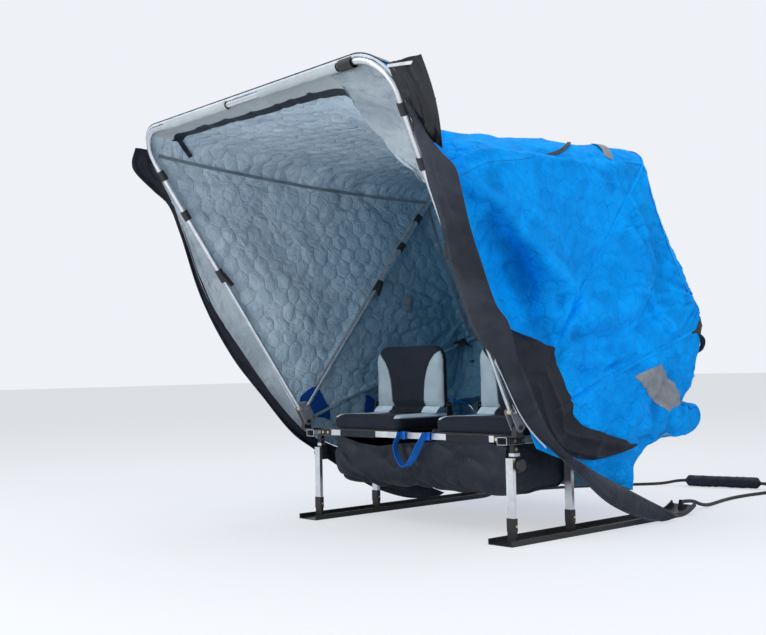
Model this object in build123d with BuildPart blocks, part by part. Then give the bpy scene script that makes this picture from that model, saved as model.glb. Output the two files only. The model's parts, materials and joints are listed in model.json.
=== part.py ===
from build123d import *
from math import atan2, cos, hypot, pi, radians, sin, sqrt, tan
import os

os.makedirs("parts", exist_ok=True)

# Frame of the part: origin on the floor at the middle of the hut's footprint,
# X to the sitter's left hub, Y to the tow end, Z up. All sizes in mm.

# The front legs, from which every place along Y is measured
FRONT_Y = -218.0

# Fits that the whole hut shares
FIT = 0.3

# Canopy pivot and the three bows that fan out from it
HUB_X = 641.0
HUB_Y = FRONT_Y - 23.0
HUB_Z = 438.0
BOW_R = 12.0
POLE_R = 8.0
CORNER_R = 130.0
FRONT_BOW = {"angle": 58.7, "length": 1464.0, "half": 787.0, "lug": 68.0, "lug_angle": 58.7, "lock": 0.50}
MID_BOW = {"angle": 127.3, "length": 1426.0, "half": 649.0, "lug": 62.0, "lug_angle": 92.0, "lock": 0.53}
REAR_BOW = {"angle": 161.5, "length": 1300.0, "half": 690.0, "lug": 30.0, "lug_angle": 150.0, "lock": 0.86}
BOWS = (FRONT_BOW, MID_BOW, REAR_BOW)

# Fabric
CLOTH_T = 6.0
CLOTH_OFF = 20.0
CLAMP_R = 16.6
LEVER_W = 18.0
LEFT_SAG = 40.0
RIGHT_SAG = 110.0
ROOF_SAG = 95.0
CORNER_FALL = 235.0
FOLD_FALL = 190.0
SKIRT_T = 3.0
SEAM = 1.25
HEM_X = 664.0
HEM_Y = (FRONT_Y + 60.0, FRONT_Y + 650.0)
HEM_Z = (355.0, 150.0)
REAR_LINE = ((1165, 700), (1085, 560), (1060, 510), (1155, 480), (1165, 420), (1080, 370), (800, 345), (665, 260), (650, 150))

# Chassis
SKI_FRONT = FRONT_Y - 70.0
SKI_FLAT = 1085.0
TIP_R = 240.0
TIP_ANGLE = 32.0
TOW_LUG = 16.0
SKI_W = 120.0
SKI_H = 22.0
SKI_WEB = 4.0
LEG_X = 583.0
LEG_Y = (FRONT_Y, FRONT_Y + 343.0)
LEG_W = 35.0
LEG_D = 16.0
LEG_LOW = 83.0
LEG_TOP = 320.0
CAP_LOW = 52.0
CAP_WALL = 3.0
POST = 20.0
KNOB_R = 23.0
BOLT_R = 7.0
FOOT_T = 6.0
SLEEVE_LOW = 264.0
SLEEVE_TOP = 316.0
RAIL = 25.0
RAIL_Z = 389.0
RAIL_WALL = 2.0
ARM_W = 50.0
ARM_H = 30.0
ARM_FRONT = FRONT_Y - 46.0
ARM_REAR = FRONT_Y + 420.0
ARM_TOP = RAIL_Z + RAIL / 2
ARM_LOW = ARM_TOP - ARM_H

# Seats
SEAT_X = (-272.0, 382.0)
SEAT_W = 455.0
SEAT_D = 365.0
CUSHION_T = 62.0
BOARD_T = 6.0
BACK_T = 50.0
BACK_H = 303.0
BACK_Y = FRONT_Y + 275.0
BACK_GAP = 10.0
BACK_ROUND = 75.0
EAR_T = 4.0
PIN_R = 5.0

# Straps
WRAP_X = (-312.0, 353.0)
WRAP_W = 230.0
WRAP_T = 3.5
WEB_W = 27.0
WEB_T = 3.0
ROPE_R = 8.0
PAD_R = 32.0
TOW_Y = SKI_FRONT + SKI_FLAT + 108.0
TOW_Z = 52.0


def unit(v):
    """Scales a vector to length one."""
    size = sqrt(v[0] ** 2 + v[1] ** 2 + v[2] ** 2)
    return (v[0] / size, v[1] / size, v[2] / size)


def cross(a, b):
    """Cross product of two vectors."""
    return (a[1] * b[2] - a[2] * b[1], a[2] * b[0] - a[0] * b[2], a[0] * b[1] - a[1] * b[0])


def less(a, b):
    """The vector from b to a."""
    return (a[0] - b[0], a[1] - b[1], a[2] - b[2])


def mix(a, b, share):
    """The point that lies a share of the way from a to b."""
    return tuple(p + (q - p) * share for p, q in zip(a, b))


def lug_place(bow):
    """Where a bow's own bolt goes through the hub plates, seen from the side."""
    a = radians(bow["lug_angle"])
    return (HUB_Y - bow["lug"] * cos(a), HUB_Z + bow["lug"] * sin(a))


def bow_top(bow):
    """Where a bow's crossbar is, seen from the side."""
    a = radians(bow["angle"])
    return (HUB_Y - bow["length"] * cos(a), HUB_Z + bow["length"] * sin(a))


def bow_run(bow):
    """Length from a bow's bolt to its crossbar, seen from the side."""
    y, z = lug_place(bow)
    ty, tz = bow_top(bow)
    return hypot(ty - y, tz - z)


def bow_space(bow, x, t, lift=0.0):
    """Turns a place in a bow's own plane, or lift behind it, into the part's frame."""
    y, z = lug_place(bow)
    ty, tz = bow_top(bow)
    run = bow_run(bow)
    ey = (ty - y) / run
    ez = (tz - z) / run
    return (x, y + t * ey + lift * ez, z + t * ez - lift * ey)


def bow_point(bow, w, off=0.0, lift=0.0):
    """A place on a bow's right half, pushed out by off.

    w runs 0 to 1 up the pole, 1 to 2 round the corner, 2 to 3 to the middle.
    """
    run = bow_run(bow)
    lean = atan2(bow["half"] - HUB_X, run)
    reach = CORNER_R * tan((pi / 2 + lean) / 2)
    cx = bow["half"] - reach
    ct = run - CORNER_R
    if w <= 1:
        ex = cx + CORNER_R * cos(lean)
        et = ct - CORNER_R * sin(lean)
        x = HUB_X + (ex - HUB_X) * w + off * cos(lean)
        t = et * w - off * sin(lean)
    elif w <= 2:
        a = -lean + (pi / 2 + lean) * (w - 1)
        x = cx + (CORNER_R + off) * cos(a)
        t = ct + (CORNER_R + off) * sin(a)
    else:
        x = cx * (3 - w)
        t = run + off
    return bow_space(bow, x, t, lift)


def blend_step(x):
    """Smooth rise from 0 to 1."""
    x = min(max(x, 0.0), 1.0)
    return x * x * (3 - 2 * x)


def pushed(rows, thick):
    """A grid of points moved along its own normals."""
    n = len(rows)
    m = len(rows[0])
    far = []
    for i in range(n):
        line = []
        for j in range(m):
            du = less(rows[min(i + 1, n - 1)][j], rows[max(i - 1, 0)][j])
            dv = less(rows[i][min(j + 1, m - 1)], rows[i][max(j - 1, 0)])
            k = unit(cross(du, dv))
            line.append(tuple(p + thick * c for p, c in zip(rows[i][j], k)))
        far.append(line)
    return far


def closed(near, far):
    """Closes the space between two grids of points into one solid sheet."""
    n = len(near)
    m = len(near[0])
    corners = []
    for i in range(n - 1):
        for j in range(m - 1):
            a, b, c, d = near[i][j], near[i + 1][j], near[i + 1][j + 1], near[i][j + 1]
            e, f, g, h = far[i][j], far[i + 1][j], far[i + 1][j + 1], far[i][j + 1]
            corners += [(a, c, b), (a, d, c), (e, f, g), (e, g, h)]
    rim = [(i, 0) for i in range(n - 1)] + [(n - 1, j) for j in range(m - 1)]
    rim += [(i, m - 1) for i in range(n - 1, 0, -1)] + [(0, j) for j in range(m - 1, 0, -1)]
    for k, (i, j) in enumerate(rim):
        p, q = rim[(k + 1) % len(rim)]
        if (p, q) > (i, j):
            corners += [(near[i][j], near[p][q], far[p][q]), (near[i][j], far[p][q], far[i][j])]
        else:
            corners += [(near[i][j], near[p][q], far[i][j]), (near[p][q], far[p][q], far[i][j])]
    faces = [Face(Wire.make_polygon([Vector(*v) for v in tri])) for tri in corners]
    return Solid(Shell(faces))


def fabric(rows, thick):
    """A sheet of even thickness on a grid of points."""
    return closed(rows, pushed(rows, thick))


def mirrored(rows):
    """The same grid on the other side, turned so that its normals still point out."""
    return [[(-x, y, z) for x, y, z in row][::-1] for row in rows]


def wall_sag(u, v, depth):
    """How far a side wall falls in between the front and middle bows."""
    ridge = 0.85 - 0.53 * v
    return depth * sin(pi * v) * blend_step((ridge - u) / 0.3) * blend_step(u / 0.35)


def roof_sag(v, share):
    """How far the front roof hangs; share runs from 0 at the left seam to 1."""
    rise = blend_step((v - 0.02) / 0.2) * (1 - v)
    return 100.0 * v * (1 - v) + ROOF_SAG * share * rise


def corner_dent(w, v):
    """How far the slack right front corner has fallen in."""
    up = blend_step((w - 0.6) / 0.8)
    down = 1 - blend_step((w - 1.6) / 1.1)
    slack = CORNER_FALL * up * down * blend_step((v - 0.02) / 0.14) * (1 - v) ** 1.6
    across = blend_step((w - 0.62) / 0.5) * (1 - blend_step((w - 1.75) / 0.6))
    fold = FOLD_FALL * across * blend_step((v - 0.03) / 0.06) * (1 - blend_step((v - 0.1) / 0.22))
    return slack + fold


def front_span(side, w, v, slack=1.0):
    """Inner face of the canopy between the front and the middle bow."""
    spread = CLOTH_OFF + 10.0 * max(0.0, 1 - w / 0.25)
    x, y, z = mix(bow_point(FRONT_BOW, w, spread), bow_point(MID_BOW, w, spread), v)
    u = w / SEAM
    half = bow_point(MID_BOW, SEAM)[0]
    share = blend_step((side * x + half) / (2 * half))
    x -= wall_sag(min(u, 1.0), v, RIGHT_SAG if side > 0 else LEFT_SAG)
    z -= roof_sag(v, share) * blend_step((u - 0.55) / 0.45)
    if side > 0:
        fall = slack * corner_dent(w, v)
        x -= 0.6 * fall
        y += 0.35 * fall
        z -= 0.62 * fall
    return (side * x, y, z)


def rear_span(side, w, v):
    """Inner face of the canopy between the middle and the rear bow."""
    spread = CLOTH_OFF + 10.0 * max(0.0, 1 - w / 0.25)
    x, y, z = mix(bow_point(MID_BOW, w, spread), bow_point(REAR_BOW, w, spread), v)
    return (side * x, y - 14.0 * sin(pi * v) * min(w, 1.0), z - 14.0 * sin(pi * v) * min(w, 1.0))


def rear_line(q):
    """The rear wall from the bow (q = 0) to its hem (q = 1), seen from the side."""
    line = [bow_point(REAR_BOW, 3.0, CLOTH_OFF)[1:]] + [(FRONT_Y + y, z) for y, z in REAR_LINE]
    k = min(int(q * len(REAR_LINE)), len(REAR_LINE) - 1)
    part = q * len(REAR_LINE) - k
    return mix(line[k], line[k + 1], part)


def low_span(side, w, q):
    """Inner face of the loose fabric between the rear bow and the chassis."""
    spread = CLOTH_OFF + 10.0 * max(0.0, 1 - w / 0.25)
    top = bow_point(REAR_BOW, w, spread)
    s = min(w / SEAM, 1.0)
    wide = top[0] / bow_point(REAR_BOW, SEAM, CLOTH_OFF)[0] if w > SEAM else 1.0
    hem = (HEM_X * wide, HEM_Y[0] + (HEM_Y[1] - HEM_Y[0]) * s, HEM_Z[0] + (HEM_Z[1] - HEM_Z[0]) * s)
    x, y, z = mix(top, hem, q)
    py, pz = rear_line(q)
    by, bz = mix(rear_line(0.0), (HEM_Y[1], HEM_Z[1]), q)
    return (side * x, y + (py - by) * s ** 3, z + (pz - bz) * s ** 3)


WALL_W = (0.0, 0.12, 0.25, 0.4, 0.55, 0.7, 0.82, 0.93, 1.0, SEAM)
ROOF_W = (1.5, 1.75, 2.0, 2.3, 2.6)
FRONT_V = (0.0, 0.03, 0.09, 0.16, 0.26, 0.4, 0.55, 0.7, 0.85, 0.97)
REAR_V = (0.0, 0.05, 0.35, 0.65, 0.95)
LOW_Q = tuple(k / 13 for k in range(14))


def shell_grid(slack=1.0):
    """Grid of the canopy's inner face, from the left hub over to the right one.

    With slack at 0 the right front corner is drawn tight.
    """
    ring = [(-1, w) for w in WALL_W + ROOF_W] + [(1, 3.0)] + [(1, w) for w in (WALL_W + ROOF_W)[::-1]]
    rows = []
    for side, w in ring:
        row = [front_span(side, w, v, slack) for v in FRONT_V]
        row += [rear_span(side, w, v) for v in REAR_V]
        row += [low_span(side, w, q) for q in LOW_Q]
        rows.append(row)
    return rows


# The skis
def ski_solid(side):
    """One channel ski with its tow end turned up, and the lug that the tow strap hooks to."""
    with BuildPart() as ski:
        with BuildLine(Plane.YZ.offset(side * LEG_X)) as path:
            flat = Line((SKI_FRONT, 0), (SKI_FRONT + SKI_FLAT, 0))
            JernArc(start=flat @ 1, tangent=flat % 1, radius=TIP_R, arc_size=TIP_ANGLE)
        with BuildSketch(Plane.XZ.offset(-SKI_FRONT)):
            with Locations((side * LEG_X, SKI_H / 2)):
                Rectangle(SKI_W, SKI_H)
            with Locations((side * LEG_X, SKI_WEB + SKI_H / 2)):
                Rectangle(SKI_W - 2 * SKI_WEB, SKI_H, mode=Mode.SUBTRACT)
        sweep(path=path.line)
        with BuildSketch(Plane.YZ.offset(side * LEG_X - TOW_LUG / 2)):
            with BuildLine():
                Polyline(
                    (TOW_Y - 26, TOW_Z - 36), (TOW_Y, TOW_Z - 28), (TOW_Y, TOW_Z + 9),
                    (TOW_Y - 12, TOW_Z + 9), (TOW_Y - 26, TOW_Z - 36),
                )
            make_face()
        extrude(amount=TOW_LUG)
    return ski.part


with BuildPart() as skis:
    add(ski_solid(-1))
    add(ski_solid(1))
skis.part.label = "skis"
export_step(skis.part, "parts/skis.step")

# Foot caps, each with the lug that stands it on its ski
with BuildPart() as feet:
    for side in (-1, 1):
        for y in LEG_Y:
            with BuildSketch(Plane.XY.offset(CAP_LOW - 6)):
                with Locations((side * LEG_X, y)):
                    RectangleRounded(LEG_W + 2 * CAP_WALL, LEG_D + 2 * CAP_WALL, 4)
            extrude(amount=LEG_LOW - CAP_LOW + 18)
            with BuildSketch(Plane.XY.offset(LEG_LOW)):
                with Locations((side * LEG_X, y)):
                    Rectangle(LEG_W, LEG_D)
            extrude(amount=40, mode=Mode.SUBTRACT)
            with BuildSketch(Plane.XY.offset(SKI_WEB)):
                with Locations((side * LEG_X, y)):
                    Rectangle(LEG_W + 2 * CAP_WALL, 12)
            extrude(amount=CAP_LOW - 6 - SKI_WEB)
feet.part.label = "foot_caps"
export_step(feet.part, "parts/foot_caps.step")

# Outer leg tubes
with BuildPart() as legs:
    for side in (-1, 1):
        for y in LEG_Y:
            with BuildSketch(Plane.XY.offset(LEG_LOW)):
                with Locations((side * LEG_X, y)):
                    Rectangle(LEG_W, LEG_D)
                    Rectangle(LEG_W - 4, LEG_D - 4, mode=Mode.SUBTRACT)
            extrude(amount=LEG_TOP - LEG_LOW)
legs.part.label = "leg_tubes"
export_step(legs.part, "parts/leg_tubes.step")

# Black posts behind the leg tubes, each with the block that grips its tube
POST_OFF = (LEG_D + POST) / 2
with BuildPart() as posts:
    for side in (-1, 1):
        for y in LEG_Y:
            with BuildSketch(Plane.XY.offset(SLEEVE_LOW)):
                with Locations((side * LEG_X, y + POST_OFF)):
                    Rectangle(POST, POST)
            extrude(amount=ARM_LOW - SLEEVE_LOW)
            with BuildSketch(Plane.XY.offset(SLEEVE_LOW)):
                with Locations((side * LEG_X, y + POST_OFF + 4)):
                    Rectangle(LEG_W, POST + 8)
            extrude(amount=SLEEVE_TOP - SLEEVE_LOW)
posts.part.label = "leg_posts"
export_step(posts.part, "parts/leg_posts.step")

# Bright clips round the foot of each post
with BuildPart() as clips_low:
    for side in (-1, 1):
        for y in LEG_Y:
            with BuildSketch(Plane.XY.offset(LEG_TOP + 6)):
                with Locations((side * LEG_X, y + POST_OFF + 5)):
                    Rectangle(POST + 6, POST + 14)
                with Locations((side * LEG_X, y + POST_OFF)):
                    Rectangle(POST, POST, mode=Mode.SUBTRACT)
            extrude(amount=12)
clips_low.part.label = "post_clips"
export_step(clips_low.part, "parts/post_clips.step")

# Clamp knobs on the outer side of each block
with BuildPart() as knobs:
    for side in (-1, 1):
        for y in LEG_Y:
            with BuildSketch(Plane.YZ.offset(side * (LEG_X + LEG_W / 2))) as stem:
                with Locations((y + POST_OFF + 8, (SLEEVE_LOW + SLEEVE_TOP) / 2 + 3)):
                    Circle(7)
            extrude(amount=side * 6)
            with BuildSketch(Plane.YZ.offset(side * (LEG_X + LEG_W / 2 + 6))) as grip:
                with Locations((y + POST_OFF + 8, (SLEEVE_LOW + SLEEVE_TOP) / 2 + 3)):
                    Circle(KNOB_R)
            extrude(amount=side * 12)
knobs.part.label = "leg_knobs"
export_step(knobs.part, "parts/leg_knobs.step")

# Side arms over the legs, open at both ends
with BuildPart() as arms:
    for side in (-1, 1):
        with BuildSketch(Plane.XZ.offset(-ARM_FRONT)):
            with Locations((side * LEG_X, ARM_TOP - ARM_H / 2)):
                RectangleRounded(ARM_W, ARM_H, 4)
                RectangleRounded(ARM_W - 2 * RAIL_WALL, ARM_H - 2 * RAIL_WALL, 2, mode=Mode.SUBTRACT)
        extrude(amount=-(ARM_REAR - ARM_FRONT))
arms.part.label = "side_arms"
export_step(arms.part, "parts/side_arms.step")

# Cross rails between the arms, beside the two pairs of posts
RAIL_Y = tuple(y + POST_OFF for y in LEG_Y)
RAIL_END = LEG_X - ARM_W / 2
with BuildPart() as rails:
    for y in RAIL_Y:
        with BuildSketch(Plane.YZ.offset(-RAIL_END)):
            with Locations((y, RAIL_Z)):
                Rectangle(RAIL, RAIL)
                Rectangle(RAIL - 2 * RAIL_WALL, RAIL - 2 * RAIL_WALL, mode=Mode.SUBTRACT)
        extrude(amount=2 * RAIL_END)
rails.part.label = "cross_rails"
export_step(rails.part, "parts/cross_rails.step")

# Black corner plates: one on each end of the front rail, one on each arm's outer face
RAIL_FACE = RAIL_Y[0] - RAIL / 2
PLATE_THIN = 3.0
END_PLATE = 60.0
ARM_PLATE = 100.0
with BuildPart() as corners:
    for side in (-1, 1):
        with BuildSketch(Plane.XZ.offset(-RAIL_FACE)):
            with Locations((side * (RAIL_END - END_PLATE / 2), RAIL_Z)):
                Rectangle(END_PLATE, RAIL)
        extrude(amount=PLATE_THIN)
        with BuildSketch(Plane.YZ.offset(side * (LEG_X + ARM_W / 2))):
            with Locations((ARM_FRONT + ARM_PLATE / 2, ARM_TOP - ARM_H / 2)):
                Rectangle(ARM_PLATE, ARM_H - 4)
        extrude(amount=side * PLATE_THIN)
corners.part.label = "corner_plates"
export_step(corners.part, "parts/corner_plates.step")

# Bolt heads on the corner plates, the posts and the foot caps
with BuildPart() as bolts:
    for side in (-1, 1):
        for at in (12.0, 46.0):
            with BuildSketch(Plane.XZ.offset(-(RAIL_FACE - PLATE_THIN))):
                with Locations((side * (RAIL_END - at), RAIL_Z)):
                    RegularPolygon(BOLT_R, 6)
            extrude(amount=4)
        for at in (40.0, 89.0):
            with BuildSketch(Plane.YZ.offset(side * (LEG_X + ARM_W / 2 + PLATE_THIN))):
                with Locations((ARM_FRONT + at, ARM_TOP - ARM_H / 2)):
                    RegularPolygon(BOLT_R, 6)
            extrude(amount=side * 4)
        for y in LEG_Y:
            with BuildSketch(Plane.YZ.offset(LEG_X * side + POST / 2)):
                with Locations((y + POST_OFF + 2, LEG_TOP + 33)):
                    RegularPolygon(BOLT_R, 6)
            extrude(amount=4)
            with BuildSketch(Plane.YZ.offset(LEG_X * side + LEG_W / 2 + CAP_WALL)):
                with Locations((y, CAP_LOW + 14)):
                    RegularPolygon(BOLT_R - 2, 6)
            extrude(amount=3)
bolts.part.label = "frame_bolts"
export_step(bolts.part, "parts/frame_bolts.step")

# Brackets on the arms that carry the canopy's main pivots
with BuildPart() as blocks:
    for side in (-1, 1):
        foot_in = LEG_X - ARM_W / 2
        foot_out = HUB_X + BOW_R
        with BuildSketch(Plane.XY.offset(ARM_TOP)):
            with Locations((side * (foot_in + foot_out) / 2, HUB_Y)):
                Rectangle(foot_out - foot_in, 44)
        extrude(amount=FOOT_T)
        with BuildSketch(Plane.YZ.offset(side * HUB_X - BOW_R)):
            with BuildLine():
                Polyline(
                    (HUB_Y - 22, ARM_TOP), (HUB_Y + 22, ARM_TOP), (HUB_Y + 14, HUB_Z),
                    (HUB_Y - 14, HUB_Z), (HUB_Y - 22, ARM_TOP),
                )
            make_face()
            with Locations((HUB_Y, HUB_Z)):
                Circle(14)
        extrude(amount=2 * BOW_R)
        with BuildSketch(Plane.YZ.offset(side * HUB_X - 24)):
            with Locations((HUB_Y, HUB_Z)):
                Circle(PIN_R)
        extrude(amount=48)
        for out in (-1, 1):
            with BuildSketch(Plane.YZ.offset(side * HUB_X + out * 18)):
                with Locations((HUB_Y, HUB_Z)):
                    RegularPolygon(9, 6)
            extrude(amount=out * 6)
blocks.part.label = "pivot_brackets"
export_step(blocks.part, "parts/pivot_brackets.step")

# Hub plates, two to a side, with a lug for each bow
PLATE_IN = BOW_R + 1.0
PLATE_T = 4.0


with BuildPart() as plates:
    for side in (-1, 1):
        for out in (-1, 1):
            with BuildSketch(Plane.YZ.offset(side * HUB_X + out * PLATE_IN)):
                with Locations((HUB_Y, HUB_Z)):
                    Circle(18)
                with Locations(*[lug_place(b) for b in BOWS]):
                    Circle(13)
                make_hull()
                with Locations((HUB_Y, HUB_Z)):
                    Circle(PIN_R + FIT, mode=Mode.SUBTRACT)
            extrude(amount=out * PLATE_T)
plates.part.label = "hub_plates"
export_step(plates.part, "parts/hub_plates.step")

# Spacers and bolts that hold the bow ends between the plates
with BuildPart() as lugs:
    for side in (-1, 1):
        for bow in BOWS:
            y, z = lug_place(bow)
            with BuildSketch(Plane.YZ.offset(side * HUB_X - PLATE_IN)):
                with Locations((y, z)):
                    Circle(9.5)
            extrude(amount=2 * PLATE_IN)
            for out in (-1, 1):
                with BuildSketch(Plane.YZ.offset(side * HUB_X + out * (PLATE_IN + PLATE_T))):
                    with Locations((y, z)):
                        RegularPolygon(7, 6)
                extrude(amount=out * 4)
lugs.part.label = "bow_bolts"
export_step(lugs.part, "parts/bow_bolts.step")


def pole_line(bow, side):
    """Start, lock place and corner of a bow's pole."""
    y, z = lug_place(bow)
    start = (side * HUB_X, y, z)
    x, cy, cz = bow_space(bow, bow["half"], bow_run(bow))
    corner = (side * x, cy, cz)
    return start, corner


def tube_along(points, radius):
    """A round bar along a bent line, with the bow's corner radius."""
    with BuildPart() as bar:
        with BuildLine() as path:
            if len(points) > 2:
                FilletPolyline(*points, radius=CORNER_R)
            else:
                Line(*points)
        with BuildSketch(Plane(origin=path.line @ 0, z_dir=path.line % 0)):
            Circle(radius)
        sweep()
    return bar.part


def lower_pole(bow, side):
    """Thin inner tube from the hub to the cam lock."""
    start, corner = pole_line(bow, side)
    way = unit(less(corner, start))
    low = tuple(p + (9.6 + POLE_R * abs(way[0])) * d for p, d in zip(start, way))
    return tube_along([low, mix(start, corner, bow["lock"])], POLE_R)


def upper_bow(bow):
    """Thick upper tube from one cam lock over to the other."""
    left, left_corner = pole_line(bow, -1)
    right, right_corner = pole_line(bow, 1)
    points = [mix(left, left_corner, bow["lock"]), left_corner, right_corner, mix(right, right_corner, bow["lock"])]
    return tube_along(points, BOW_R)


with BuildPart() as front_poles:
    add(lower_pole(FRONT_BOW, -1))
    add(lower_pole(FRONT_BOW, 1))
front_poles.part.label = "front_bow_poles"
export_step(front_poles.part, "parts/front_bow_poles.step")

with BuildPart() as mid_poles:
    add(lower_pole(MID_BOW, -1))
    add(lower_pole(MID_BOW, 1))
mid_poles.part.label = "middle_bow_poles"
export_step(mid_poles.part, "parts/middle_bow_poles.step")

with BuildPart() as rear_poles:
    add(lower_pole(REAR_BOW, -1))
    add(lower_pole(REAR_BOW, 1))
rear_poles.part.label = "rear_bow_poles"
export_step(rear_poles.part, "parts/rear_bow_poles.step")

with BuildPart() as front_bow:
    add(upper_bow(FRONT_BOW))
front_bow.part.label = "front_bow"
export_step(front_bow.part, "parts/front_bow.step")

with BuildPart() as mid_bow:
    add(upper_bow(MID_BOW))
mid_bow.part.label = "middle_bow"
export_step(mid_bow.part, "parts/middle_bow.step")

with BuildPart() as rear_bow:
    add(upper_bow(REAR_BOW))
rear_bow.part.label = "rear_bow"
export_step(rear_bow.part, "parts/rear_bow.step")

def lever(place, way, side):
    """The lever of a cam lock, swung out to the inner side of its pole."""
    inward = unit((-side * (1 - way[0] ** 2), side * way[0] * way[1], side * way[0] * way[2]))
    with BuildPart() as arm:
        with BuildSketch(Plane(origin=place, x_dir=inward, z_dir=cross(inward, way))):
            with BuildLine():
                Polyline(
                    (BOW_R + 1, 10), (CLAMP_R + 5, 12), (CLAMP_R + 26, -52),
                    (CLAMP_R + 18, -56), (BOW_R + 1, -14), (BOW_R + 1, 10),
                )
            make_face()
        extrude(amount=LEVER_W / 2, both=True)
    return arm.part


# Cam locks at each joint of a thin and a thick tube
with BuildPart() as locks:
    for side in (-1, 1):
        for bow in BOWS:
            start, corner = pole_line(bow, side)
            place = mix(start, corner, bow["lock"])
            way = unit(less(corner, start))
            with BuildSketch(Plane(origin=place, z_dir=way)) as ring:
                Circle(CLAMP_R)
                Circle(BOW_R, mode=Mode.SUBTRACT)
            extrude(amount=34)
            with BuildSketch(Plane(origin=place, z_dir=way)):
                Circle(CLAMP_R)
                Circle(POLE_R, mode=Mode.SUBTRACT)
            extrude(amount=-26)
            add(lever(place, way, side))
locks.part.label = "cam_locks"
export_step(locks.part, "parts/cam_locks.step")

# Clips that hold the walls to the bows
CLIP_AT = (0.72, 0.86)
with BuildPart() as clips:
    for side in (-1, 1):
        for bow in BOWS:
            start, corner = pole_line(bow, side)
            for share in CLIP_AT:
                if share > bow["lock"] + 0.06:
                    place = mix(start, corner, share)
                    way = unit(less(corner, start))
                    with BuildSketch(Plane(origin=place, z_dir=way)):
                        Circle(CLAMP_R)
                        Circle(BOW_R, mode=Mode.SUBTRACT)
                    extrude(amount=22, both=True)
clips.part.label = "bow_clips"
export_step(clips.part, "parts/bow_clips.step")

# Cloth sleeve on the front bow's crossbar
SLEEVE_HALF = 560.0
with BuildPart() as bar_sleeve:
    x0, y0, z0 = bow_space(FRONT_BOW, -SLEEVE_HALF, bow_run(FRONT_BOW))
    with BuildSketch(Plane(origin=(x0, y0, z0), z_dir=(1, 0, 0))):
        Circle(BOW_R + 2.6)
        Circle(BOW_R, mode=Mode.SUBTRACT)
    extrude(amount=2 * SLEEVE_HALF)
bar_sleeve.part.label = "bar_sleeve"
export_step(bar_sleeve.part, "parts/bar_sleeve.step")


# Canopy fabric: one shell cut into its sewn panels
INNER = shell_grid()
OUTER = pushed(INNER, CLOTH_T)
SEAM_L = len(WALL_W) - 1
SEAM_R = len(INNER) - len(WALL_W)
AT_MID = len(FRONT_V)
AT_REAR = len(FRONT_V) + len(REAR_V)
LAST = len(INNER[0]) - 1


def panel(rows_from, rows_to, cols_from, cols_to):
    """One sewn panel of the shell."""
    near = [row[cols_from:cols_to + 1] for row in INNER[rows_from:rows_to + 1]]
    far = [row[cols_from:cols_to + 1] for row in OUTER[rows_from:rows_to + 1]]
    return closed(near, far)


with BuildPart() as left_wall:
    add(panel(0, SEAM_L, 0, AT_REAR))
left_wall.part.label = "left_wall"
export_step(left_wall.part, "parts/left_wall.step")

with BuildPart() as right_wall:
    add(panel(SEAM_R, len(INNER) - 1, 0, AT_REAR))
right_wall.part.label = "right_wall"
export_step(right_wall.part, "parts/right_wall.step")

with BuildPart() as front_roof:
    add(panel(SEAM_L, SEAM_R, 0, AT_MID))
front_roof.part.label = "front_roof"
export_step(front_roof.part, "parts/front_roof.step")

with BuildPart() as rear_roof:
    add(panel(SEAM_L, SEAM_R, AT_MID, AT_REAR))
rear_roof.part.label = "rear_roof"
export_step(rear_roof.part, "parts/rear_roof.step")

with BuildPart() as left_lower:
    add(panel(0, SEAM_L, AT_REAR, LAST))
left_lower.part.label = "left_lower_side"
export_step(left_lower.part, "parts/left_lower_side.step")

with BuildPart() as right_lower:
    add(panel(SEAM_R, len(INNER) - 1, AT_REAR, LAST))
right_lower.part.label = "right_lower_side"
export_step(right_lower.part, "parts/right_lower_side.step")

with BuildPart() as rear_wall:
    add(panel(SEAM_L, SEAM_R, AT_REAR, LAST))
rear_wall.part.label = "rear_wall"
export_step(rear_wall.part, "parts/rear_wall.step")


def skirt_width(w, right):
    """Width of the front skirt beside its pole."""
    if right:
        return 105.0 + 45.0 * blend_step(w) - 25.0 * sin(pi * min(w, 1.0)) ** 2
    return 95.0 + 130.0 * sin(pi * min(max(w, 0.0), 1.0) ** 0.8)


def skirt_grid(right):
    """Grid of half of the front skirt, just ahead of the bow's own plane."""
    lean = atan2(FRONT_BOW["half"] - HUB_X, bow_run(FRONT_BOW))
    rows = []
    for w in (-0.05, 0.1, 0.25, 0.4, 0.55, 0.7, 0.85, 1.0, 1.15, 1.3):
        wide = skirt_width(w, right)
        spread = CLOTH_OFF + 10.0 * max(0.0, 1 - w / 0.25)
        root = bow_point(FRONT_BOW, w, spread + 1.0, -FIT)
        zero = bow_space(FRONT_BOW, 0.0, 0.0)
        away = less(bow_space(FRONT_BOW, cos(lean), -sin(lean)), zero)
        rows.append([tuple(p + wide * k / 3 * d for p, d in zip(root, away)) for k in (3, 2, 1, 0)])
    return rows


with BuildPart() as front_skirt:
    add(fabric(skirt_grid(True), SKIRT_T))
    add(fabric(mirrored(skirt_grid(False)), SKIRT_T))
front_skirt.part.label = "front_skirt"
export_step(front_skirt.part, "parts/front_skirt.step")

# The crossbar's stretch of skirt, thrown back over the roof
TAUT = shell_grid(0.0)
with BuildPart() as top_skirt:
    low_face = [row[0:4] for row in pushed(TAUT, CLOTH_T + FIT)[SEAM_L + 1:SEAM_R]]
    high_face = [row[0:4] for row in pushed(TAUT, CLOTH_T + FIT + SKIRT_T)[SEAM_L + 1:SEAM_R]]
    add(closed(low_face, high_face))
top_skirt.part.label = "top_skirt"
export_step(top_skirt.part, "parts/top_skirt.step")

# Skirts that run from behind each hub along the hem and down to the ice at the tow end
SIDE_LOW = (
    (-172, 380), (-120, 352), (-62, 320), (5, 283), (80, 240), (172, 185), (229, 151), (281, 120), (330, 95),
    (426, 55), (530, 28), (630, 8), (714, 4),
)
SIDE_START = ((-118, 436), (-86, 400), (-38, 350))
SIDE_END = ((500, 92), (590, 45), (714, 22))
SIDE_X = HEM_X + 26.0


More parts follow.
